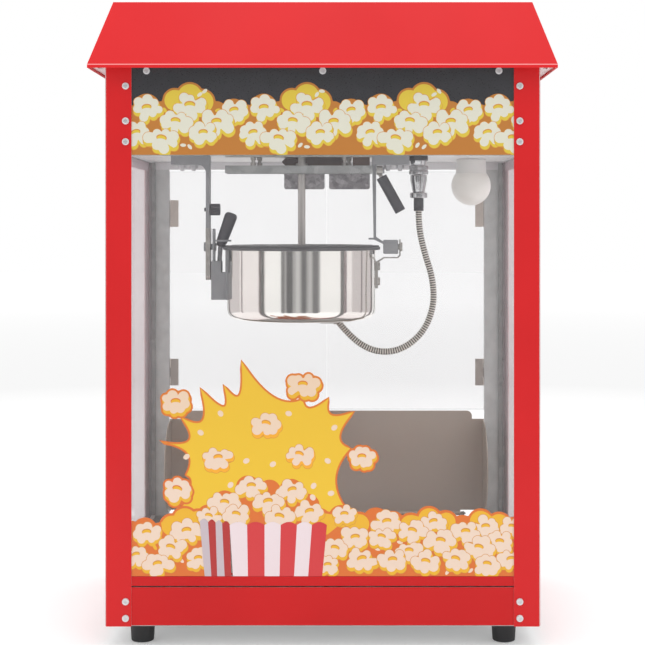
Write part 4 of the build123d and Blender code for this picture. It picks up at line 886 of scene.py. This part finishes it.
RIGHT = [(26, 161, 16), (77, 152, 18), (39, 133, 18), (71, 134, 16), (15, 120, 17), (6, 100, 15),
         (47, 107, 19), (84, 106, 18), (108, 141, 18), (133, 152, 17), (104, 117, 17),
         (142, 129, 19), (124, 104, 18), (160, 107, 18), (172, 140, 18), (196, 146, 17),
         (188, 121, 18), (213, 128, 17), (198, 101, 17), (226, 107, 16), (228, 146, 15)]
for index, (x, z, size) in enumerate(sorted(LEFT + RIGHT, key=lambda spot: -spot[1])):
    popcorn(front, x, z, size, 40 + index, FRONT_INKS)
for index, (x, z, size) in enumerate(sorted(HEAP, key=lambda spot: -spot[1])):
    popcorn(front, x, z, size, 90 + index, FRONT_INKS)
flakes(front, [(-176, 108), (-170, 106), (66, 120), (93, 128), (150, 92), (178, 94)], CREAM, 3.7)
flakes(front, [(-192, 149), (-202, 122), (90, 140), (158, 122)], YELLOW, 3.7)

# %% The striped tub
RED_STRIPE, WHITE_STRIPE = colour(205, 44, 56), colour(228, 213, 218)
RED_SHADE, WHITE_SHADE = colour(174, 36, 44), colour(192, 180, 188)


def stripe(art, top, bottom, z_top, z_low, tint, layer, rise=3.6):
    """One upright stripe: four corners, with its upper edge bowed up by rise sin(pi t)."""
    t = np.linspace(0, 1, 12)
    bow = np.stack([top[0] + (top[1] - top[0]) * t, z_top + rise * np.sin(np.pi * t)], -1)
    art.shape(np.vstack([bow, [(bottom[1], z_low), (bottom[0], z_low)]]), tint, layer)


tub_layer = max(top for *_, top in front.blots)
side_top, side_low = [-148, -138, -129, -121, -112], [-142, -134, -127, -118, -110]
front_top = [-112, -91, -70, -50.5, -31, -13, 5]
front_low = [-108, -90, -70, -52, -34.5, -17.5, -0.6]
for index in range(4):
    tint = WHITE_SHADE if index % 2 == 0 else RED_SHADE
    stripe(front, side_top[index:index + 2], side_low[index:index + 2], 153 - index, PANE_FOOT,
           tint, tub_layer)
for index in range(6):
    tint = WHITE_STRIPE if index % 2 == 0 else RED_STRIPE
    stripe(front, front_top[index:index + 2], front_low[index:index + 2], 149, PANE_FOOT,
           tint, tub_layer + 1)
front.finish("front_print", ink.material, "cabinet")

# %% [markdown]
# ## Studio
# The machine stands on a pale floor in even white light. The floor glows a little near the
# machine and evens out farther off, so that it runs into the white behind it without a line. A
# large soft light above and in front brightens the roof. Polished steel only shows what is round
# it, so upright cards from mid grey to nearly black stand round the machine. The camera doesn't
# see them, but the kettle does, and they draw the dark lines that make it look like metal.

# %% Floor, world and lights
floor_finish = Finish("studio_floor", roughness=1.0, specular_ior_level=0.0,
                      emission_strength=0.2)
x, y, _ = floor_finish.axes()
away = floor_finish.between(x * x + y * y, 1.5, 8.0)
edge = floor_finish.between(x * x + y * y, 8.0, 60.0)
floor_finish.set("base_color", floor_finish.mix(away - edge, (0.93, 0.93, 0.93, 1),
                                                (0.83, 0.83, 0.83, 1)))
floor_finish.set("emission_color", floor_finish.mix(away, (1, 1, 1, 1), (0.45, 0.45, 0.45, 1)))
floor_mesh = bpy.data.meshes.new("studio_floor")
FLOOR_HALF, FLOOR_Z = 14, -0.0004
floor_mesh.from_pydata([(a * FLOOR_HALF, b * FLOOR_HALF, FLOOR_Z)
                        for a, b in ((-1, -1), (1, -1), (1, 1), (-1, 1))], [], [(0, 1, 2, 3)])
floor_mesh.materials.append(floor_finish.material)
floor = bpy.data.objects.new("studio_floor", floor_mesh)
bpy.context.scene.collection.objects.link(floor)
floor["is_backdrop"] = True

world = bpy.data.worlds.new("studio")
world.use_nodes = True
world.node_tree.nodes["Background"].inputs["Color"].default_value = (1, 1, 1, 1)
world.node_tree.nodes["Background"].inputs["Strength"].default_value = 1.0
bpy.context.scene.world = world


def soft_light(name, place, aim, size, power):
    """A square area light at a place, turned so that its -Z axis looks at the aim."""
    data = bpy.data.lights.new(name, "AREA")
    data.size, data.energy = size, power
    light = bpy.data.objects.new(name, data)
    direction = Vector(aim) - Vector(place)
    light.location = place
    light.rotation_euler = direction.to_track_quat("-Z", "Y").to_euler()
    bpy.context.scene.collection.objects.link(light)


soft_light("top_light", (0.2, -1.6, 2.6), (0, 0, 0.6), 1.8, 12)

# %% Cards for the kettle to mirror: bearing and width in degrees, grey, distance in metres
CARD_FOOT, CARD_TOP = 0.02, 2.2
CARDS = [(0, 58.0, 0.36, 1.9), (108, 50.0, 0.62, 1.9), (-128, 44.0, 0.66, 1.9),
         (-60, 3.0, 0.06, 1.5), (-26, 5.0, 0.16, 1.5), (-16, 9.0, 0.08, 1.5), (-4, 6.0, 0.55, 1.5),
         (5, 7.0, 0.10, 1.5), (14, 4.0, 0.50, 1.5), (22, 8.0, 0.14, 1.5), (71, 2.6, 0.06, 1.5),
         (104, 3.0, 0.1, 1.5), (150, 5.0, 0.15, 1.5), (-100, 3.0, 0.15, 1.5),
         (-158, 6.0, 0.2, 1.5), (180, 8.0, 0.2, 1.5)]
for index, (azimuth, wide, grey, far) in enumerate(CARDS):
    card_finish = Finish(f"card_{index}", base_color=(0, 0, 0, 1), roughness=1.0)
    card_finish.set("emission_color", (grey, grey, grey, 1))
    card_finish.set("emission_strength", 1.0)
    turn = np.radians([azimuth - wide / 2, azimuth + wide / 2])
    across = np.stack([KETTLE_X * MM + far * np.sin(turn), -far * np.cos(turn)], -1)
    low, high = [(*p, CARD_FOOT) for p in across], [(*p, CARD_TOP) for p in across]
    card_mesh = bpy.data.meshes.new(f"card_{index}")
    card_mesh.from_pydata([low[0], low[1], high[1], high[0]], [], [(0, 1, 2, 3)])
    card_mesh.materials.append(card_finish.material)
    card = bpy.data.objects.new(f"card_{index}", card_mesh)
    card.visible_camera = card.visible_diffuse = card.visible_shadow = False
    card.visible_transmission = False
    bpy.context.scene.collection.objects.link(card)
    card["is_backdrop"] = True
print("cards", len(CARDS))

# %% [markdown]
# ## Size
# The last cell prints the box of the finished model.

# %% Size of the model
low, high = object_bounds()
print("model box", [round(v, 4) for v in (*low, *high)])
